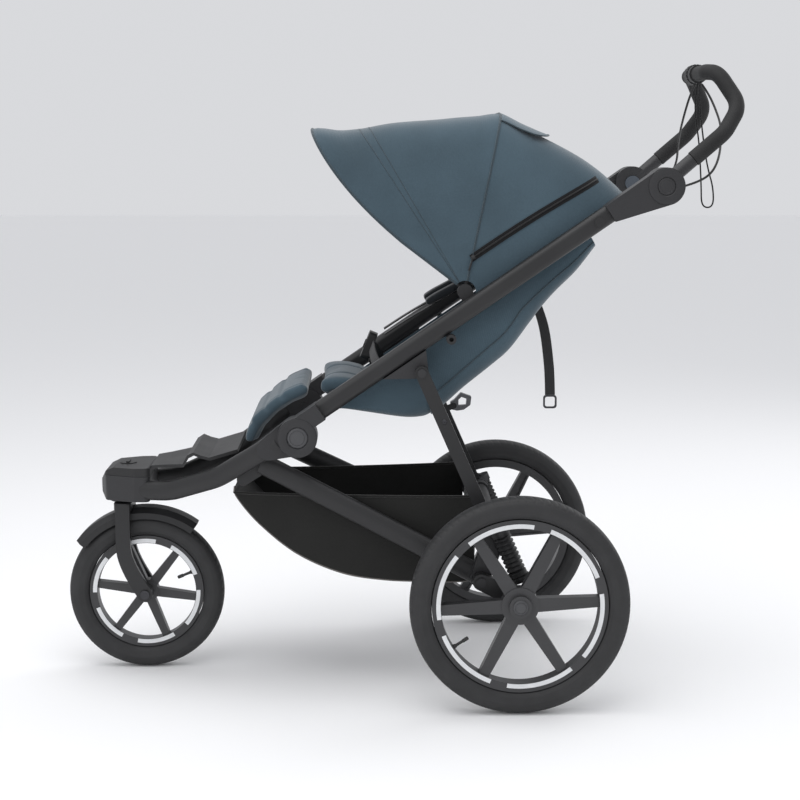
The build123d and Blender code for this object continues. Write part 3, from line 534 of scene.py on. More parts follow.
for side, sign in (("left", 1), ("right", -1)):
    hub = turned(f"hub_cap_{side}", cap_section(0.0138, 0.0036), (sign * 0.331, 0.225, 0.200),
                 (sign, 0, 0), 48)
    dress(hub, cap_grey, f"rear_wheel_{side}", "cap_plastic", f"rear_hub_cap_{side}")
hinge_low, hinge_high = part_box("hinge_caps")
hinge = Vector((0, (hinge_low.y + hinge_high.y) / 2, (hinge_low.z + hinge_high.z) / 2))
caps = [turned(f"cap_{sign}", cap_section(0.0192, 0.0034), hinge + Vector((sign * 0.2302, 0, 0)),
               (sign, 0, 0), 56) for sign in (1, -1)]
dress(gather("hinge_cap_domes", caps), cap_grey, "upper_frame", "cap_plastic", "hinge_caps")

# %% [markdown]
# Raised rings and discs cover the outside of the handle hubs and the fold hinges. They are
# turned from a short section. A small screw holds each rear leg.

# %% Joint cover rings
def cover_ring(outer, inner, height):
    """A raised flat ring with rounded edges, for the outside of a joint."""
    return [(-0.0004, inner), (height * 0.7, inner + 0.0004), (height, inner + 0.0013),
            (height, outer - 0.0022), (height * 0.72, outer - 0.0007), (-0.0004, outer)]


HUB = (0.4898, 0.9489)
rings = []
for sign in (1, -1):
    rings.append(turned(f"hub_ring_{sign}", cover_ring(0.0330, 0.0165, 0.0022),
                        (sign * 0.226, *HUB), (sign, 0, 0), 64))
    rings.append(turned(f"hub_disc_{sign}", cap_section(0.0158, 0.0018),
                        (sign * 0.226, *HUB), (sign, 0, 0), 48))
dress(gather("handle_hub_covers", rings), housing_nylon, "upper_frame", "housing")
rings = [turned(f"hinge_ring_{sign}", cover_ring(0.0356, 0.0202, 0.0016),
                hinge + Vector((sign * 0.232, 0, 0)), (sign, 0, 0), 64) for sign in (1, -1)]
dress(gather("fold_hinge_rings", rings), housing_nylon, "upper_frame", "housing")
screws = []
for sign in (1, -1):
    screws.append(turned(f"screw_{sign}", [(-0.0004, 0.0), (0.0006, 0.0), (0.0006, 0.0015), (0.0018, 0.0018),
                                           (0.0018, 0.0040), (0.0008, 0.0048), (-0.0004, 0.0048)],
                         (sign * 0.241, 0.0904, 0.524), (sign, 0, 0), 24))
dress(gather("leg_screws", screws), axle_steel, "rear_frame", "axle_steel")
print("joint covers and screws placed")

# %% [markdown]
# The suspension boots are rubber bellows with about eight ribs. The ribs are drawn into the
# section and spun about the spring's own leaning axis.

# %% Suspension boots
boot_rubber, nodes, links, shader = finish("boot_rubber", (0.014, 0.014, 0.015), 0.55)
uneven_gloss(nodes, links, shader, 0.42, 0.62, 40)
grain(nodes, links, shader, 600, 0.18, 0.0003)
BOOT_TOP, BOOT_FOOT = Vector((0.255, 0.193, 0.320)), Vector((0.255, 0.228, 0.240))
BOOT_LENGTH, RIBS = 0.0856, 8
boot_axis = (BOOT_FOOT - BOOT_TOP).normalized()
boot = [(0.0006, 0.0125), (0.0006, 0.0165), (0.005, 0.0170)]
pitch = (BOOT_LENGTH - 0.016) / RIBS
for rib in range(RIBS):
    start = 0.006 + rib * pitch
    boot += [(start, 0.0140), (start + 0.30 * pitch, 0.0170), (start + 0.5 * pitch, 0.0175),
             (start + 0.70 * pitch, 0.0170), (start + 0.96 * pitch, 0.0140)]
boot += [(BOOT_LENGTH - 0.008, 0.0172), (BOOT_LENGTH, 0.0172), (BOOT_LENGTH, 0.0125)]
for side, sign in (("left", 1), ("right", -1)):
    top = Vector((sign * BOOT_TOP.x, BOOT_TOP.y, BOOT_TOP.z))
    bellows = turned(f"suspension_boot_ribbed_{side}", boot, top, boot_axis, 40, 50)
    dress(bellows, boot_rubber, "rear_frame", "boot_rubber", f"suspension_boot_{side}")
    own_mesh(bellows)

# %% [markdown]
# The canopy and seat are sewn from a dense polyester cloth. Each cloth piece here carries its
# own UV map measured in metres, so a weave drawn in UV space keeps its true thread size on
# every piece. Two sets of fine bands, warp and weft, make the weave, and a soft noise mixes
# two close shades of the dye, as melange yarn does.

# %% Cloth finishes
def woven(name, colour, thread, shade=0.14, source="UV", roughness=0.86, sheen=0.35, relief=0.0003):
    """Woven cloth with a warp and a weft. thread is how many threads fit in a metre."""
    material, nodes, links, shader = finish(name, colour, roughness, 0.0, shade, 7)
    shader.inputs["Sheen Weight"].default_value = sheen
    shader.inputs["Sheen Roughness"].default_value = 0.45
    shader.inputs["Specular IOR Level"].default_value = 0.2
    place = nodes.new("ShaderNodeTexCoord")
    fuzz = nodes.new("ShaderNodeTexNoise")
    fuzz.inputs["Scale"].default_value = 260
    fuzz.inputs["Detail"].default_value = 2
    links.new(place.outputs["Object"], fuzz.inputs["Vector"])
    threads = []
    for direction in ("X", "Y"):
        wave = nodes.new("ShaderNodeTexWave")
        wave.bands_direction = direction
        wave.inputs["Scale"].default_value = thread / 20
        wave.inputs["Distortion"].default_value = 0.6
        wave.inputs["Detail Scale"].default_value = 4
        links.new(place.outputs[source], wave.inputs["Vector"])
        threads.append(wave)
    crossing = nodes.new("ShaderNodeMath")
    crossing.operation = "MULTIPLY"
    for socket, wave in zip(crossing.inputs, threads):
        links.new(wave.outputs["Fac"], socket)
    add_bump(nodes, links, shader, crossing.outputs["Value"], 0.45, relief)
    add_bump(nodes, links, shader, fuzz.outputs["Fac"], 0.25, 0.0004)
    yarn = nodes.new("ShaderNodeMix")
    yarn.data_type = "RGBA"
    yarn.blend_type = "MULTIPLY"
    dye = shader.inputs["Base Color"].links[0].from_socket
    mottle = nodes.new("ShaderNodeValToRGB")
    mottle.color_ramp.elements[0].color = (0.78, 0.78, 0.78, 1)
    mottle.color_ramp.elements[1].color = (1, 1, 1, 1)
    links.new(fuzz.outputs["Fac"], mottle.inputs["Fac"])
    yarn.inputs["Factor"].default_value = 0.8
    links.new(dye, yarn.inputs["A"])
    links.new(mottle.outputs["Color"], yarn.inputs["B"])
    links.new(yarn.outputs["Result"], shader.inputs["Base Color"])
    return material


shell_cloth = woven("shell_cloth", (0.062, 0.097, 0.122), 1500)
liner_cloth = woven("liner_cloth", (0.060, 0.093, 0.117), 900, source="Object")
pad_cloth = woven("pad_cloth", (0.022, 0.026, 0.030), 900, source="Object")
basket_cloth = woven("basket_cloth", (0.019, 0.019, 0.018), 1100, 0.10)
thread_grey = woven("thread_grey", (0.045, 0.066, 0.080), 2400, 0.05)
print("cloths ready")

# %% [markdown]
# A cloth sheet begins as a flat grid. Each vertex of the grid is then put where the pattern
# says, from its share across and along the piece, like pinning cloth to a form. The UV map is
# scaled to the cloth's measured size, and a Solidify modifier gives it a real thickness.

# %% Pinning a sheet
def smooth_line(points, share):
    """A point on a smooth curve that runs through all the given points."""
    last = len(points) - 1
    place = min(max(share, 0.0), 1.0) * last
    index = min(int(place), last - 1)
    t = place - index
    p = [Vector(points[min(max(index + k, 0), last)]) for k in (-1, 0, 1, 2)]
    return 0.5 * (2 * p[1] + (p[2] - p[0]) * t + (2 * p[0] - 5 * p[1] + 4 * p[2] - p[3]) * t ** 2
                  + (3 * p[1] - p[0] - 3 * p[2] + p[3]) * t ** 3)


def pinned_sheet(name, across, along, pin):
    """A grid whose vertex at shares (u, v) goes to pin(u, v). Returns (piece, width, length, area)."""
    start_clean()
    bpy.ops.mesh.primitive_grid_add(x_subdivisions=across, y_subdivisions=along, size=1)
    piece = bpy.context.object
    piece.name = name
    for vertex in piece.data.vertices:
        vertex.co = pin(vertex.co.x + 0.5, vertex.co.y + 0.5)
    width = sum((pin(k / across, 0.5) - pin((k + 1) / across, 0.5)).length for k in range(across))
    length = sum((pin(0.5, k / along) - pin(0.5, (k + 1) / along)).length for k in range(along))
    for corner in piece.data.uv_layers.active.data:
        corner.uv = (corner.uv[0] * width, corner.uv[1] * length)
    area = sum(face.area for face in piece.data.polygons)
    return piece, width, length, area


def thicken(piece, thickness, offset=0.0):
    """Give a sheet its thickness, with closed rims and smooth shading."""
    start_clean()
    piece.select_set(True)
    bpy.context.view_layer.objects.active = piece
    wall = piece.modifiers.new("thickness", "SOLIDIFY")
    wall.thickness = thickness
    wall.offset = offset
    bpy.ops.object.modifier_apply(modifier="thickness")
    bpy.ops.object.mode_set(mode="EDIT")
    bpy.ops.mesh.select_all(action="SELECT")
    bpy.ops.mesh.normals_make_consistent(inside=False)
    bpy.ops.object.mode_set(mode="OBJECT")
    bpy.ops.object.shade_smooth_by_angle(angle=math.radians(50))
    return piece


def declare_cloth(piece, width, length, area):
    """Print the flat size that a sheet would be cut to."""
    wide, long = width * 1.02, length * 1.02
    while wide * long < area:
        wide, long = wide * 1.02, long * 1.02
    print(piece.name, "cloth", round(wide, 3), "x", round(long, 3), "m, area", round(area, 3))


# %% [markdown]
# The canopy is one continuous skin stretched over two bows. In any plane through its pivot the
# skin is a rounded arch, and the arch's height changes smoothly from the back of the seat to
# the tip of the visor, with a slight pull inwards between the bows. The front half is a sheet
# of its own, which meets the rear half at the canopy's joint.

# %% Canopy form
TILT = math.radians(34.3)


def on_frame(along, offset=0.0, x=0.0):
    """A point on the side tube's axis, along it and above it, in metres."""
    return Vector((x, -0.1353 + along * math.cos(TILT) - offset * math.sin(TILT),
                   0.5412 + along * math.sin(TILT) + offset * math.cos(TILT)))


CANOPY_PIVOT = on_frame(0.3408, 0.0288)
CANOPY_HALF = 0.1838
SEAM_ANGLE = 78.2
REAR_RIBS = [(31.5, 0.347), (36, 0.341), (45, 0.331), (54, 0.322), (62, 0.318), (70, 0.321),
             (SEAM_ANGLE, 0.331)]
FRONT_RIBS = [(SEAM_ANGLE, 0.331), (85, 0.321), (92, 0.317), (99, 0.317), (106, 0.323), (114, 0.335),
              (122, 0.350), (128, 0.372), (133.5, 0.408)]
ARCH = 6.0


def arch_height(ribs, angle):
    """The arch's height above the pivot at an angle."""
    index = max(0, sum(angle > rib[0] for rib in ribs[1:-1]))
    local = (angle - ribs[index][0]) / (ribs[index + 1][0] - ribs[index][0])
    heights = [Vector((height, 0, 0)) for _, height in ribs]
    return smooth_line(heights, (index + min(max(local, 0), 1)) / (len(ribs) - 1)).x


def canopy_point(ribs, angle, t, proud=0.0, foot=0.020):
    """A point on the skin: t runs from 0 at one foot over the top to 1 at the other."""
    height = arch_height(ribs, angle) + proud
    turn = math.pi * (1 - t)
    cos, sin = math.cos(turn), math.sin(turn)
    x = math.copysign(abs(cos) ** (2 / ARCH), cos) * (CANOPY_HALF + proud)
    rise = foot + (height - foot) * max(sin, 0) ** (2 / ARCH)
    a = math.radians(angle)
    return CANOPY_PIVOT + Vector((x, rise * math.cos(a), rise * math.sin(a)))


def side_point(ribs, y, z, proud=0.0, sign=1):
    """The skin's point at a side-view place, on the left (1) or right (-1) side."""
    arm = Vector((0, y, z)) - Vector((0, CANOPY_PIVOT.y, CANOPY_PIVOT.z))
    angle = math.degrees(math.atan2(arm.z, arm.y))
    share = min(arm.length / arch_height(ribs, angle), 0.999)
    x = (CANOPY_HALF + proud) * (1 - share ** ARCH) ** (1 / ARCH)
    return Vector((sign * x, y, z))


def reach_at(u, top=0.388):
    """How far from the pivot the skin is at a share u of the arch."""
    return 0.020 + top * max(math.sin(math.pi * u), 0.0) ** (2 / ARCH)


def rear_edge(u):
    """The angle of the rear sheet's lower edge, which is tucked in behind the side tube."""
    return 34.3 - math.degrees(math.asin(min(0.0185 / reach_at(u, 0.327), 0.8)))


rear_sheet, wide, long, area = pinned_sheet(
    "canopy_rear_cloth", 84, 36,
    lambda u, v: canopy_point(REAR_RIBS, rear_edge(u) + (SEAM_ANGLE - rear_edge(u)) * v, u))
thicken(rear_sheet, 0.0016)
dress(rear_sheet, shell_cloth, "upper_frame", "shell_fabric", "canopy_rear_cover")
declare_cloth(rear_sheet, wide, long, area)


def visor_edge(u):
    """The angle of the front edge. It swings forward down the sides, in a long soft curve."""
    reach = reach_at(u)
    forward = 0.028 * math.sin(math.pi * (1 - reach / 0.4081) ** 0.75)
    return 133.5 + math.degrees(forward / max(reach, 0.05))


front_sheet, wide, long, area = pinned_sheet(
    "canopy_front_cloth", 72, 44,
    lambda u, v: canopy_point(FRONT_RIBS, SEAM_ANGLE + (visor_edge(u) - SEAM_ANGLE) * v, u))
thicken(front_sheet, 0.0016)
dress(front_sheet, shell_cloth, None, "shell_fabric", "canopy_front_cover")
declare_cloth(front_sheet, wide, long, area)
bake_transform(front_sheet)

# %% [markdown]
# Seams make a cloth form believable. Each seam is a thin rounded rib that follows a line on
# the skin: a curve along the line is given a small bevel and turned into a mesh.

# %% Seams and hems
def cord_mesh(name, points, radius, resolution=3):
    """A thin round tube along points, as a mesh."""
    start_clean()
    data = bpy.data.curves.new(name, "CURVE")
    data.dimensions = "3D"
    data.bevel_depth = radius
    data.bevel_resolution = resolution
    data.use_fill_caps = True
    line = data.splines.new("POLY")
    line.points.add(len(points) - 1)
    for point, place in zip(line.points, points):
        point.co = (*place, 1)
    tube = bpy.data.objects.new(name, data)
    bpy.context.scene.collection.objects.link(tube)
    tube.select_set(True)
    bpy.context.view_layer.objects.active = tube
    bpy.ops.object.convert(target="MESH")
    bpy.ops.object.shade_smooth_by_angle(angle=math.radians(60))
    return bpy.context.object


def along_arch(ribs, angle, proud, first=0.0, last=1.0, steps=70):
    """Points over the skin in one rib plane."""
    return [canopy_point(ribs, angle, first + (last - first) * k / steps, proud) for k in range(steps + 1)]


seam = cord_mesh("canopy_centre_seam", along_arch(REAR_RIBS, SEAM_ANGLE, 0.0012), 0.0019)
dress(seam, thread_grey, "upper_frame", "shell_fabric")
hem_line = [canopy_point(FRONT_RIBS, visor_edge(k / 90), k / 90, 0.0006) for k in range(91)]
hem = cord_mesh("canopy_front_hem", hem_line, 0.0024)
dress(hem, thread_grey, "canopy_front", "shell_fabric")
bow_lines = [along_arch(FRONT_RIBS, angle, 0.0007) for angle in (120.4, 123.2)]
bow_seams = gather("canopy_bow_seams", [cord_mesh(f"bow_seam_{k}", line, 0.0007, 2)
                                        for k, line in enumerate(bow_lines)])
dress(bow_seams, thread_grey, None, "shell_fabric")
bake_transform(bow_seams)
rear_line = [canopy_point(REAR_RIBS, rear_edge(k / 70), k / 70, 0.0006) for k in range(71)]
rear_hem = cord_mesh("canopy_rear_hem", rear_line, 0.0018)
dress(rear_hem, thread_grey, "upper_frame", "shell_fabric")

# %% [markdown]
# A long zip runs along each side of the canopy, just above the tube. Its tape is a narrow
# strip pinned to the skin, its coil is a fine tube down the middle with a bump for the teeth,
# and the slider is a small moulded body with a cord pull.

# %% Zips
zip_tape = woven("zip_tape", (0.010, 0.010, 0.011), 2600, 0.05)
zip_coil, nodes, links, shader = finish("zip_coil", (0.006, 0.006, 0.006), 0.35)
teeth = nodes.new("ShaderNodeTexWave")
teeth.bands_direction = "Y"
teeth.inputs["Scale"].default_value = 160
place = nodes.new("ShaderNodeTexCoord")
links.new(place.outputs["Object"], teeth.inputs["Vector"])
add_bump(nodes, links, shader, teeth.outputs["Fac"], 0.8, 0.0006)
ZIP_LOW, ZIP_HIGH = Vector((0, 0.141, 0.8175)), Vector((0, 0.374, 0.9610))
zip_run = (ZIP_HIGH - ZIP_LOW).normalized()
zip_up = Vector((0, -zip_run.z, zip_run.y))


def zip_place(share, offset, proud, sign):
    """A point on the zip's line, with a gentle bow, offset across it."""
    base = ZIP_LOW.lerp(ZIP_HIGH, share) + zip_up * (offset + 0.004 * math.sin(math.pi * share))
    return side_point(REAR_RIBS, base.y, base.z, proud, sign)


for side, sign in (("left", 1), ("right", -1)):
    strip, *_ = pinned_sheet(f"canopy_zip_tape_{side}", 4, 60,
                             lambda u, v: zip_place(v, (u - 0.5) * 0.0135, 0.0022, sign))
    thicken(strip, 0.0012)
    dress(strip, zip_tape, "upper_frame", "webbing")
    coil_line = [zip_place(k / 60, 0, 0.0032, sign) for k in range(61)]
    coil = cord_mesh(f"canopy_zip_coil_{side}", coil_line, 0.0016)
    dress(coil, zip_coil, "upper_frame", "webbing")
    slider_at = zip_place(0.015, 0, 0.0045, sign)
    pull_points = [slider_at + Vector((sign * 0.001, -0.002 * k, -0.006 * k)) for k in range(5)]
    pull = cord_mesh(f"zip_pull_{side}", pull_points, 0.0015)
    body = turned(f"zip_slider_{side}", [(-0.004, 0.0015), (-0.004, 0.0035), (-0.002, 0.0048),
                                         (0.003, 0.0044), (0.0045, 0.003), (0.0045, 0.0015)],
                  slider_at, zip_run, 14)
    dress(gather(f"canopy_zip_slider_{side}", [pull, body]), trim_black, "upper_frame", "dark_plastic")

# %% [markdown]
# Behind the centre seam, a flap covers a small vent. It is a second, shorter sheet that starts
# in the seam and stands a few millimetres proud at its free edge, with a stitched border.

# %% Vent flap
def flap_point(u, v, extra=0.0):
    """The flap's skin; it lifts towards its free rear edge and has rounded corners."""
    reach = 17.0 * (1 - 0.30 * abs(2 * u - 1) ** 4)
    t = 0.5 + (u - 0.5) * 0.34
    lift = 0.0018 + 0.0065 * v ** 1.5
    return canopy_point(REAR_RIBS, SEAM_ANGLE - 0.4 - reach * v, t, lift + extra)


flap, wide, long, area = pinned_sheet("canopy_vent_flap", 30, 20, flap_point)
thicken(flap, 0.0014)
dress(flap, shell_cloth, "upper_frame", "shell_fabric")
declare_cloth(flap, wide, long, area)
edge = [flap_point(0, k / 16, 0.0008) for k in range(17)]
edge += [flap_point(k / 24, 1, 0.0008) for k in range(1, 25)]
edge += [flap_point(1, 1 - k / 16, 0.0008) for k in range(1, 17)]
dress(cord_mesh("canopy_vent_hem", edge, 0.0013), thread_grey, "upper_frame", "shell_fabric")

# %% [markdown]
# The seat hangs between the side tubes as a deep cloth bucket. Its front part stays with the
# frame. Its back leans with the backrest, so the back is a sheet of its own, and on each side
# a gusset joins it to the fixed side wall: the gusset runs along the frame at its outer edge
# and along the back's edge at its inner edge.

# %% Seat bucket form
UNDER = [(-0.104, 0.5395), (-0.045, 0.5275), (0.016, 0.517), (0.050, 0.5165), (0.070, 0.5235),
         (0.100, 0.548), (0.131, 0.576), (0.181, 0.616), (0.216, 0.647), (0.251, 0.694),
         (0.2755, 0.727), (0.301, 0.756), (0.338, 0.793), (0.372, 0.838)]
UNDER_LINE = [Vector((0, y, z)) for y, z in UNDER]
BUCKET_HALF = 0.1728
PAN_SHARE = 4 / 13


def bucket_point(v, turn, half=BUCKET_HALF, power=7.0):
    """A point of the bucket: v runs from the front to the top, turn from one tube to the other."""
    deep = smooth_line(UNDER_LINE, v)
    high = on_frame(0.022 + 0.566 * v ** 0.94, -0.0165)
    a = math.pi * (1 - turn)
    cos, sin = math.cos(a), max(math.sin(a), 0.0)
    x = math.copysign(abs(cos) ** (2 / power), cos) * half
    return high.lerp(deep, sin ** (2 / power)) + Vector((x, 0, 0))


pan, wide, long, area = pinned_sheet(
    "seat_pan_cloth", 64, 18, lambda u, v: bucket_point(v * PAN_SHARE, u))
thicken(pan, 0.0016)
dress(pan, shell_cloth, "upper_frame", "shell_fabric", "seat_base", "seat_sides")
declare_cloth(pan, wide, long, area)

# %% [markdown]
# The seat is a hammock of cloth between the tubes: a pan, a back that rides on the reclining
# shell, and a gusset on each side that stretches between the two.

# %% Seat sides and back
EDGE_X = 0.135


def back_point(u, v):
    """The back between the gussets, from the crease up, sagging slightly in the middle."""
    place = bucket_point(PAN_SHARE + (1 - PAN_SHARE) * v, 0.5)
    sag = 0.004 * math.sin(math.pi * v) * math.cos((u - 0.5) * math.pi)
    return place + Vector(((2 * u - 1) * EDGE_X, sag * 0.75, -sag * 0.6))


back_sheet, wide, long, area = pinned_sheet("backrest_cloth", 36, 44, back_point)
thicken(back_sheet, 0.0016)
dress(back_sheet, shell_cloth, "backrest", "shell_fabric", "backrest_shell")
declare_cloth(back_sheet, wide, long, area)


def gusset_point(sign, u, v):
    """From the tube down the side wall and round the corner to the back's edge."""
    top = PAN_SHARE + (1 - PAN_SHARE) * v
    deep = smooth_line(UNDER_LINE, top)
    high = on_frame(0.022 + 0.566 * top ** 0.94, -0.0165)
    fall = (deep - high).length
    wall = 0.62
    corner = min(0.036, fall * 0.45)
    if u < wall:
        place = high.lerp(deep, (1 - corner / fall) * u / wall)
        return place + Vector((sign * (BUCKET_HALF + 0.0015 * math.sin(math.pi * u / wall)), 0, 0))
    a = (u - wall) / (1 - wall) * math.pi / 2
    place = high.lerp(deep, 1 - corner / fall + corner / fall * math.sin(a))
    return place + Vector((sign * (EDGE_X + (BUCKET_HALF - EDGE_X) * math.cos(a)), 0, 0))


for side, sign in (("left", 1), ("right", -1)):
    gusset, wide, long, area = pinned_sheet(
        f"seat_gusset_{side}", 40, 44, lambda u, v: gusset_point(sign, u, v))
    thicken(gusset, 0.0016)
    dress(gusset, shell_cloth, None, "shell_fabric")
    declare_cloth(gusset, wide, long, area)
    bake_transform(gusset)
    edge_line = [gusset_point(sign, 0.62, k / 50) + Vector((sign * 0.0016, 0, 0)) for k in range(51)]
    piping = cord_mesh(f"seat_piping_{side}", edge_line, 0.0013)
    dress(piping, thread_grey, "upper_frame", "shell_fabric")

# %% [markdown]
# Pads are foam between two faces of cloth. Each starts as its side outline pushed out to a
# block, slightly smaller than the finished pad. A voxel remesh gives it an even skin, then a
# cloth simulation with a little pressure blows it up against its own cloth, and the movement
# is capped so that it stays in its place.

# %% Padding
def pad_block(name, side_line, half_width, inset=0.004):
    """A block with a side-view outline, pulled in a little all round."""
    start_clean()
    bpy.ops.mesh.primitive_circle_add(vertices=len(side_line), fill_type="NGON", radius=0.01)
    block = bpy.context.object
    block.name = name
    middle = Vector((0, sum(p[0] for p in side_line), sum(p[1] for p in side_line))) / len(side_line)
    for vertex, (y, z) in zip(block.data.vertices, side_line):
        place = Vector((0, y, z))
        vertex.co = place - (place - middle).normalized() * inset + Vector((-(half_width - inset), 0, 0))
    bpy.ops.object.mode_set(mode="EDIT")
    bpy.ops.mesh.select_all(action="SELECT")
    bpy.ops.mesh.extrude_region_move(TRANSFORM_OT_translate={"value": (2 * (half_width - inset), 0, 0)})
    tidy_skin()
    bpy.ops.object.mode_set(mode="OBJECT")
    return block


def inflate(pad, voxel, cap, frames=18, pressure=4.0):
    """Remesh a block and blow it up as cloth, each point moving at most cap."""
    start_clean()
    pad.select_set(True)
    bpy.context.view_layer.objects.active = pad
    remesh = pad.modifiers.new("skin", "REMESH")
    remesh.mode = "VOXEL"
    remesh.voxel_size = voxel
    bpy.ops.object.modifier_apply(modifier="skin")
    smooth = pad.modifiers.new("ease", "SMOOTH")
    smooth.iterations = 6
    bpy.ops.object.modifier_apply(modifier="ease")
    rest = [vertex.co.copy() for vertex in pad.data.vertices]
    cloth = pad.modifiers.new("cloth", "CLOTH")
    cloth.settings.use_pressure = True
    cloth.settings.uniform_pressure_force = pressure
    cloth.settings.effector_weights.gravity = 0
    cloth.settings.quality = 4
    for frame_number in range(1, frames + 1):
        bpy.context.scene.frame_set(frame_number)
    bpy.ops.object.modifier_apply(modifier="cloth")
    bpy.context.scene.frame_set(1)
    for vertex, start in zip(pad.data.vertices, rest):
        move = vertex.co - start
        if move.length > cap:
            vertex.co = start + move * (cap / move.length)
    pad.modifiers.new("ease", "SMOOTH").iterations = 3
    bpy.ops.object.modifier_apply(modifier="ease")
    bpy.ops.object.shade_smooth()
    print(pad.name, "skin of", len(pad.data.vertices), "points")
    return pad


def sew(pad, depth_at):
    """Pull the skin in along stitched lines: depth_at(point, normal) is how far."""
    moves = [depth_at(vertex.co, vertex.normal) for vertex in pad.data.vertices]
    for vertex, depth in zip(pad.data.vertices, moves):
        if depth:
            vertex.co -= vertex.normal * depth
    return pad


def groove(distance, width, depth):
    """A stitched channel's depth at a distance from its line."""
    return depth * math.exp(-(distance / width) ** 2)


def finish_pad(pad, material, body, slot, fill, *replaced):
    """One subdivision, then material and body."""
    start_clean()
    pad.select_set(True)
    bpy.context.view_layer.objects.active = pad
    divide = pad.modifiers.new("divide", "SUBSURF")
    divide.levels = divide.render_levels = 1
    bpy.ops.object.modifier_apply(modifier="divide")
    dress(pad, material, body, slot, *replaced)
    return pad


# %% [markdown]
# Each pad is a closed form inflated by a cloth simulation and pulled in along its seams.

# %% Seat, back and calf pads
seat_line = [(-0.146, 0.566), (-0.140, 0.590), (-0.096, 0.591), (-0.040, 0.578), (0.020, 0.564),
             (0.022, 0.533), (-0.040, 0.543), (-0.092, 0.556)]
seat_pad = inflate(pad_block("seat_pad_soft", seat_line, 0.150), 0.0065, 0.006)
sew(seat_pad, lambda p, n: (groove(abs(abs(p.x) - 0.062), 0.005, 0.0045)
                            + groove(abs(p.y + 0.055), 0.005, 0.0035))
    if n.z > 0.3 else 0)
finish_pad(seat_pad, liner_cloth, "upper_frame", "shell_fabric", 0.7, "seat_pad")

back_line = [(0.044, 0.536), (0.119, 0.588), (0.170, 0.629), (0.204, 0.657), (0.240, 0.707), (0.291, 0.769),
             (0.330, 0.804), (0.352, 0.840)]
back_front = [(y - 0.020, z + 0.020) for y, z in reversed(back_line)]
back_pad = inflate(pad_block("backrest_pad_soft", back_line + back_front, 0.150), 0.0065, 0.005)
BACK_RUN = Vector((0, 0.308, 0.304)).normalized()


def back_seams(p, n):
    """Two long seams beside the child's back and quilting lines across."""
    along = (p - Vector((0, 0.044, 0.536))).dot(BACK_RUN)
    across_lines = sum(groove(abs(along - station), 0.0045, 0.0030) for station in (0.10, 0.19, 0.28, 0.36))
    return groove(abs(abs(p.x) - 0.085), 0.005, 0.0045) + (across_lines if abs(p.x) < 0.085 else 0)


sew(back_pad, lambda p, n: back_seams(p, n) if n.y < -0.2 else 0)
finish_pad(back_pad, pad_cloth, "backrest", "pad_fabric", 0.6, "backrest_pad")

calf_line = [(-0.284, 0.466), (-0.268, 0.512), (-0.230, 0.547), (-0.198, 0.568), (-0.168, 0.580),
             (-0.155, 0.574),
             (-0.156, 0.560), (-0.190, 0.547), (-0.222, 0.526), (-0.250, 0.496), (-0.266, 0.462)]
calf_pad = inflate(pad_block("calf_pad_soft", calf_line, 0.140, 0.003), 0.0055, 0.004)
CALF_RUN = Vector((0, 0.118, 0.112)).normalized()
sew(calf_pad, lambda p, n: sum(groove(abs((p - Vector((0, -0.284, 0.466))).dot(CALF_RUN) - s), 0.004, 0.0035)
                               for s in (0.038, 0.076, 0.114)) + groove(abs(abs(p.x) - 0.112), 0.004, 0.003)
    if n.dot(Vector((0, -0.7, 0.7))) > 0.2 else 0)
finish_pad(calf_pad, liner_cloth, None, "shell_fabric", 0.7, "calf_pad")
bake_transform(calf_pad)

# %% [markdown]
# The harness is flat webbing with padded sleeves at the shoulders and a moulded buckle. A
# webbing is a narrow sheet pinned along a line, with a ribbed weave across it. The sleeves
# are small pads, inflated like the others.

# %% Harness webbing
def ribbed_webbing(name, colour):
    """Webbing: a dense diagonal rib, laid out in UV metres."""
    material, nodes, links, shader = finish(name, colour, 0.72, 0.0, 0.08, 30)
    shader.inputs["Sheen Weight"].default_value = 0.2
    place = nodes.new("ShaderNodeTexCoord")
    rib = nodes.new("ShaderNodeTexWave")
    rib.bands_direction = "DIAGONAL"
    rib.inputs["Scale"].default_value = 130
    links.new(place.outputs["UV"], rib.inputs["Vector"])
    add_bump(nodes, links, shader, rib.outputs["Fac"], 0.6, 0.0005)
    grain(nodes, links, shader, 900, 0.3, 0.0002)
    return material


webbing = ribbed_webbing("webbing", (0.012, 0.012, 0.013))


def band(name, line, width_axis, width, thickness, along=60):
    """A flat band along a smooth line of points, its width along one direction."""
    points = [Vector(p) for p in line]
    direction = Vector(width_axis).normalized()
    strip, *_ = pinned_sheet(
        name, 4, along,
        lambda u, v: smooth_line(points, v) + direction * ((u - 0.5) * width))
    return thicken(strip, thickness)


harness_line = [(0, -0.016, 0.666), (0, 0.024, 0.692), (0, 0.062, 0.7145), (0, 0.120, 0.7465),
                (0, 0.200, 0.7765),
                (0, 0.270, 0.8045)]
straps = [band(f"strap_{sign}", [(sign * 0.0525, y, z) for _, y, z in harness_line], (1, 0, 0), 0.025, 0.0024)
          for sign in (1, -1)]
straps = gather("harness_straps_webbing", straps)
dress(straps, webbing, None, "webbing", "harness_straps")
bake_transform(straps)
sleeve_line = [(0.060, 0.7315), (0.120, 0.7640), (0.178, 0.7860), (0.181, 0.7745), (0.123, 0.7520),
               (0.063, 0.7190)]
for side, sign in (("left", 1), ("right", -1)):
    sleeve = pad_block(f"shoulder_pad_{side}", sleeve_line, 0.0225, 0.001)
    sleeve.data.transform(Matrix.Translation((sign * 0.0525, 0, 0)))
    inflate(sleeve, 0.0035, 0.0025, 12)
    finish_pad(sleeve, pad_cloth, "backrest", "pad_fabric", 0.7, "shoulder_pads")
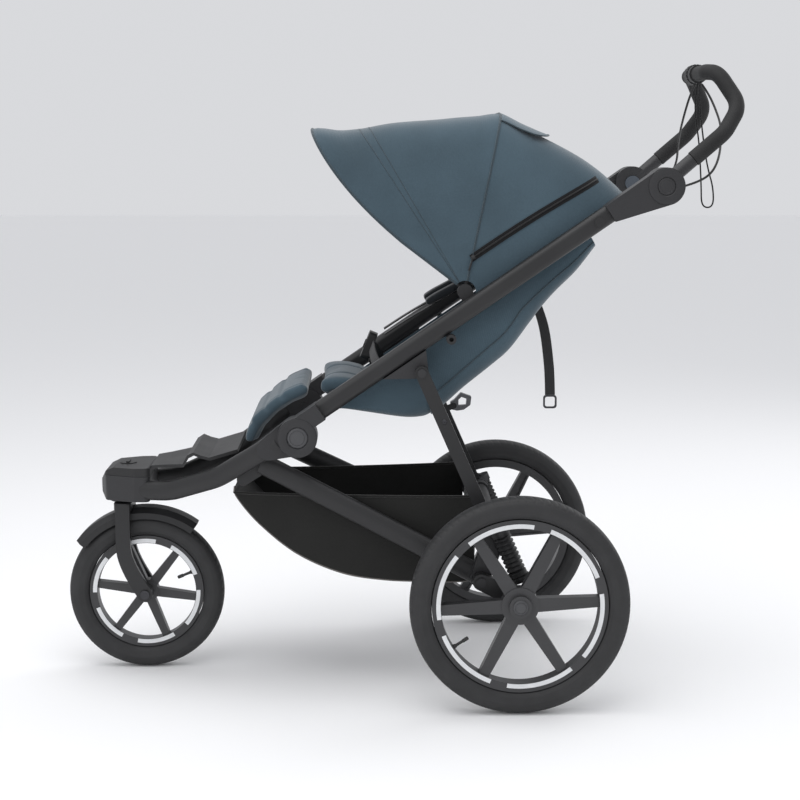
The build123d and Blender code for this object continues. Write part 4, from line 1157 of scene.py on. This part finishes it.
lap_line = [(0.158, -0.020, 0.590), (0.120, -0.030, 0.612), (0.078, -0.038, 0.628), (0.030, -0.041, 0.640)]
laps = [band(f"lap_{sign}", [(sign * x, y, z) for x, y, z in lap_line], (0, 0.35, 0.94), 0.022, 0.0022)
        for sign in (1, -1)]
dress(gather("lap_straps", laps), webbing, "upper_frame", "webbing")
crotch = band("crotch_strap_webbing", [(0, -0.029, 0.577), (0, -0.038, 0.594), (0, -0.046, 0.611)], (1, 0, 0),
              0.033, 0.0032, 16)
dress(crotch, webbing, "upper_frame", "webbing", "crotch_strap")

# %% [markdown]
# The basket is black cloth sewn from a curved belly, two side panels and a rear wall, with a
# pale piping in the seam under the sides. The panels bulge a little between their seams.

# %% Basket
BELLY = [(-0.301, 0.372), (-0.297, 0.352), (-0.255, 0.302), (-0.184, 0.246), (-0.100, 0.2105),
         (-0.020, 0.1985),
         (0.060, 0.1965), (0.120, 0.1975), (0.148, 0.2015)]
BELLY_LINE = [Vector((0, y, z)) for y, z in BELLY]
RIM = 0.3745


def basket_half(y):
    """Half the basket's width at a station: it narrows to the front."""
    return 0.1285 + (0.1810 - 0.1285) * (y + 0.310) / 0.472


def belly_point(u, v):
    """The curved bottom, rounded where it meets the sides."""
    place = smooth_line(BELLY_LINE, v)
    cross = 2 * u - 1
    lift = 0.010 * abs(cross) ** 6
    sag = 0.004 * math.sin(math.pi * v) * (1 - cross ** 2)
    return place + Vector((cross * basket_half(place.y), 0, lift - sag + 0.003))


def side_panel(sign, u, v):
    """A side panel from the seam (v = 0) to the rim (v = 1)."""
    low = belly_point(1.0 if sign > 0 else 0.0, u)
    high = Vector((sign * basket_half(low.y), low.y, RIM - 0.004 * math.sin(math.pi * u)))
    place = low.lerp(high, v)
    place.x += sign * 0.0022 * math.sin(math.pi * v) * math.sin(math.pi * u)
    return place


def rear_wall(u, v):
    """The rear wall, leaning back a little and bowed."""
    low = belly_point(u, 1.0)
    high = Vector((low.x, 0.1545, RIM))
    return low.lerp(high, v) + Vector((0, -0.003 * math.sin(math.pi * v) * math.sin(math.pi * u), 0))


panels = [("basket_belly", 40, 60, belly_point), ("basket_rear_wall", 30, 16, rear_wall),
          ("basket_side_left", 60, 20, lambda u, v: side_panel(1, u, v)),
          ("basket_side_right", 60, 20, lambda u, v: side_panel(-1, u, v))]
for name, across_count, along_count, pin in panels:
    panel, wide, long, area = pinned_sheet(name, across_count, along_count, pin)
    thicken(panel, 0.0018)
    dress(panel, basket_cloth, "lower_frame", "basket_fabric", "basket")
    declare_cloth(panel, wide, long, area)
    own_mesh(panel)
piping_cloth = woven("piping_cloth", (0.16, 0.15, 0.14), 2600, 0.06)
lines = []
for sign in (1, -1):
    share = 1.0 if sign > 0 else 0.0
    lines.append([belly_point(share, k / 60) + Vector((sign * 0.0004, 0, -0.0006)) for k in range(61)])
piping = gather("basket_piping", [cord_mesh(f"piping_{k}", line, 0.0013) for k, line in enumerate(lines)])
dress(piping, piping_cloth, "lower_frame", "basket_fabric")
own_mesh(piping)
rim_line = [side_panel(1, k / 40, 1) for k in range(41)]
rim_line += [rear_wall(1 - k / 24, 1) for k in range(1, 24)]
rim_line += [side_panel(-1, 1 - k / 40, 1) for k in range(41)]
rim_line += [belly_point(k / 24, 0.0) + Vector((0, 0, 0.0005)) for k in range(1, 24)] + [side_panel(1, 0, 1)]
rim_hem = cord_mesh("basket_rim_hem", rim_line, 0.0026)
dress(rim_hem, basket_cloth, "lower_frame", "basket_fabric")
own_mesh(rim_hem)

# %% [markdown]
# Cords come last of the soft goods. Each follows one smooth NURBS curve through the same route
# as its engineering solid. A tube needs points on that curve, so the curve is turned into a
# mesh with no bevel and its points are read back; the tube is then built round them.

# %% Cord line
def nurbs_points(route, resolution=12):
    """Points along the smooth curve of a route, in metres."""
    data = bpy.data.curves.new("route", "CURVE")
    data.dimensions = "3D"
    data.resolution_u = resolution
    spline = data.splines.new("NURBS")
    spline.points.add(len(route) - 1)
    for point, place in zip(spline.points, route):
        point.co = (place[0] * MM, place[1] * MM, place[2] * MM, 1)
    spline.order_u = 3
    spline.use_endpoint_u = True
    holder = bpy.data.objects.new("route", data)
    bpy.context.scene.collection.objects.link(holder)
    bpy.context.view_layer.update()
    mesh = bpy.data.meshes.new_from_object(holder)
    points = [vertex.co.copy() for vertex in mesh.vertices]
    bpy.data.objects.remove(holder)
    return points


# %% [markdown]
# The brake cables are stiff sleeved wires of fixed length, held at the collar and at the hubs.

# %% Brake cables
cable_jacket, nodes, links, shader = finish("cable_jacket", (0.010, 0.010, 0.010), 0.38, 0.0, 0.1, 60)
grain(nodes, links, shader, 1200, 0.15, 0.0002)
CABLES = {
    "left": [(6, 591, 1139), (10, 603, 1122), (28, 614, 1092), (66, 617, 1062), (112, 609, 1034),
             (152, 598, 1000), (180, 580, 972), (194, 552, 956), (199, 526, 949)],
    "right": [(-6, 580, 1139), (-9, 572, 1120), (-30, 566, 1086), (-72, 566, 1054), (-118, 570, 1024),
              (-156, 576, 994), (-182, 570, 968), (-195, 548, 954), (-199, 526, 947)],
}
for side, route in CABLES.items():
    line = nurbs_points(route)
    cable = cord_mesh(f"brake_cable_{side}", line, 0.0022, 4)
    dress(cable, cable_jacket, None, "cable_jacket", "brake_cables")
    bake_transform(cable)

# %% [markdown]
# Two limp pieces hang under their own weight: the wrist strap, and the recline strap that
# carries a steel ring.

# %% Wrist strap and recline strap
cord_black = woven("cord_black", (0.010, 0.010, 0.011), 2200, 0.1, source="Object")
LOOP = [(30, 579, 1141), (28, 574, 1112), (31, 576, 1072), (28, 584, 1030), (31, 587, 985), (29, 590, 945),
        (31, 591, 906), (42, 612, 906), (44, 610, 944), (43, 600, 976), (46, 592, 1012), (43, 586, 1056),
        (45, 580, 1100), (43, 580, 1141)]
loop_line = nurbs_points(LOOP)
wrist = cord_mesh("wrist_strap_cord", loop_line, 0.0015, 4)
dress(wrist, cord_black, "handlebar", "webbing", "wrist_strap")
RECLINE = [(58, 272, 728), (58, 284, 698), (58, 292, 664), (58, 297, 626), (58, 301, 588), (58, 302, 548.3)]
strap_line = nurbs_points(RECLINE)
first = next(k for k, p in enumerate(strap_line) if p.z < 0.7215)
strap_line = strap_line[first:]
strap = band("recline_strap_webbing", strap_line, (0, 1, 0), 0.019, 0.0024, 48)
dress(strap, webbing, "backrest", "webbing", "recline_strap")
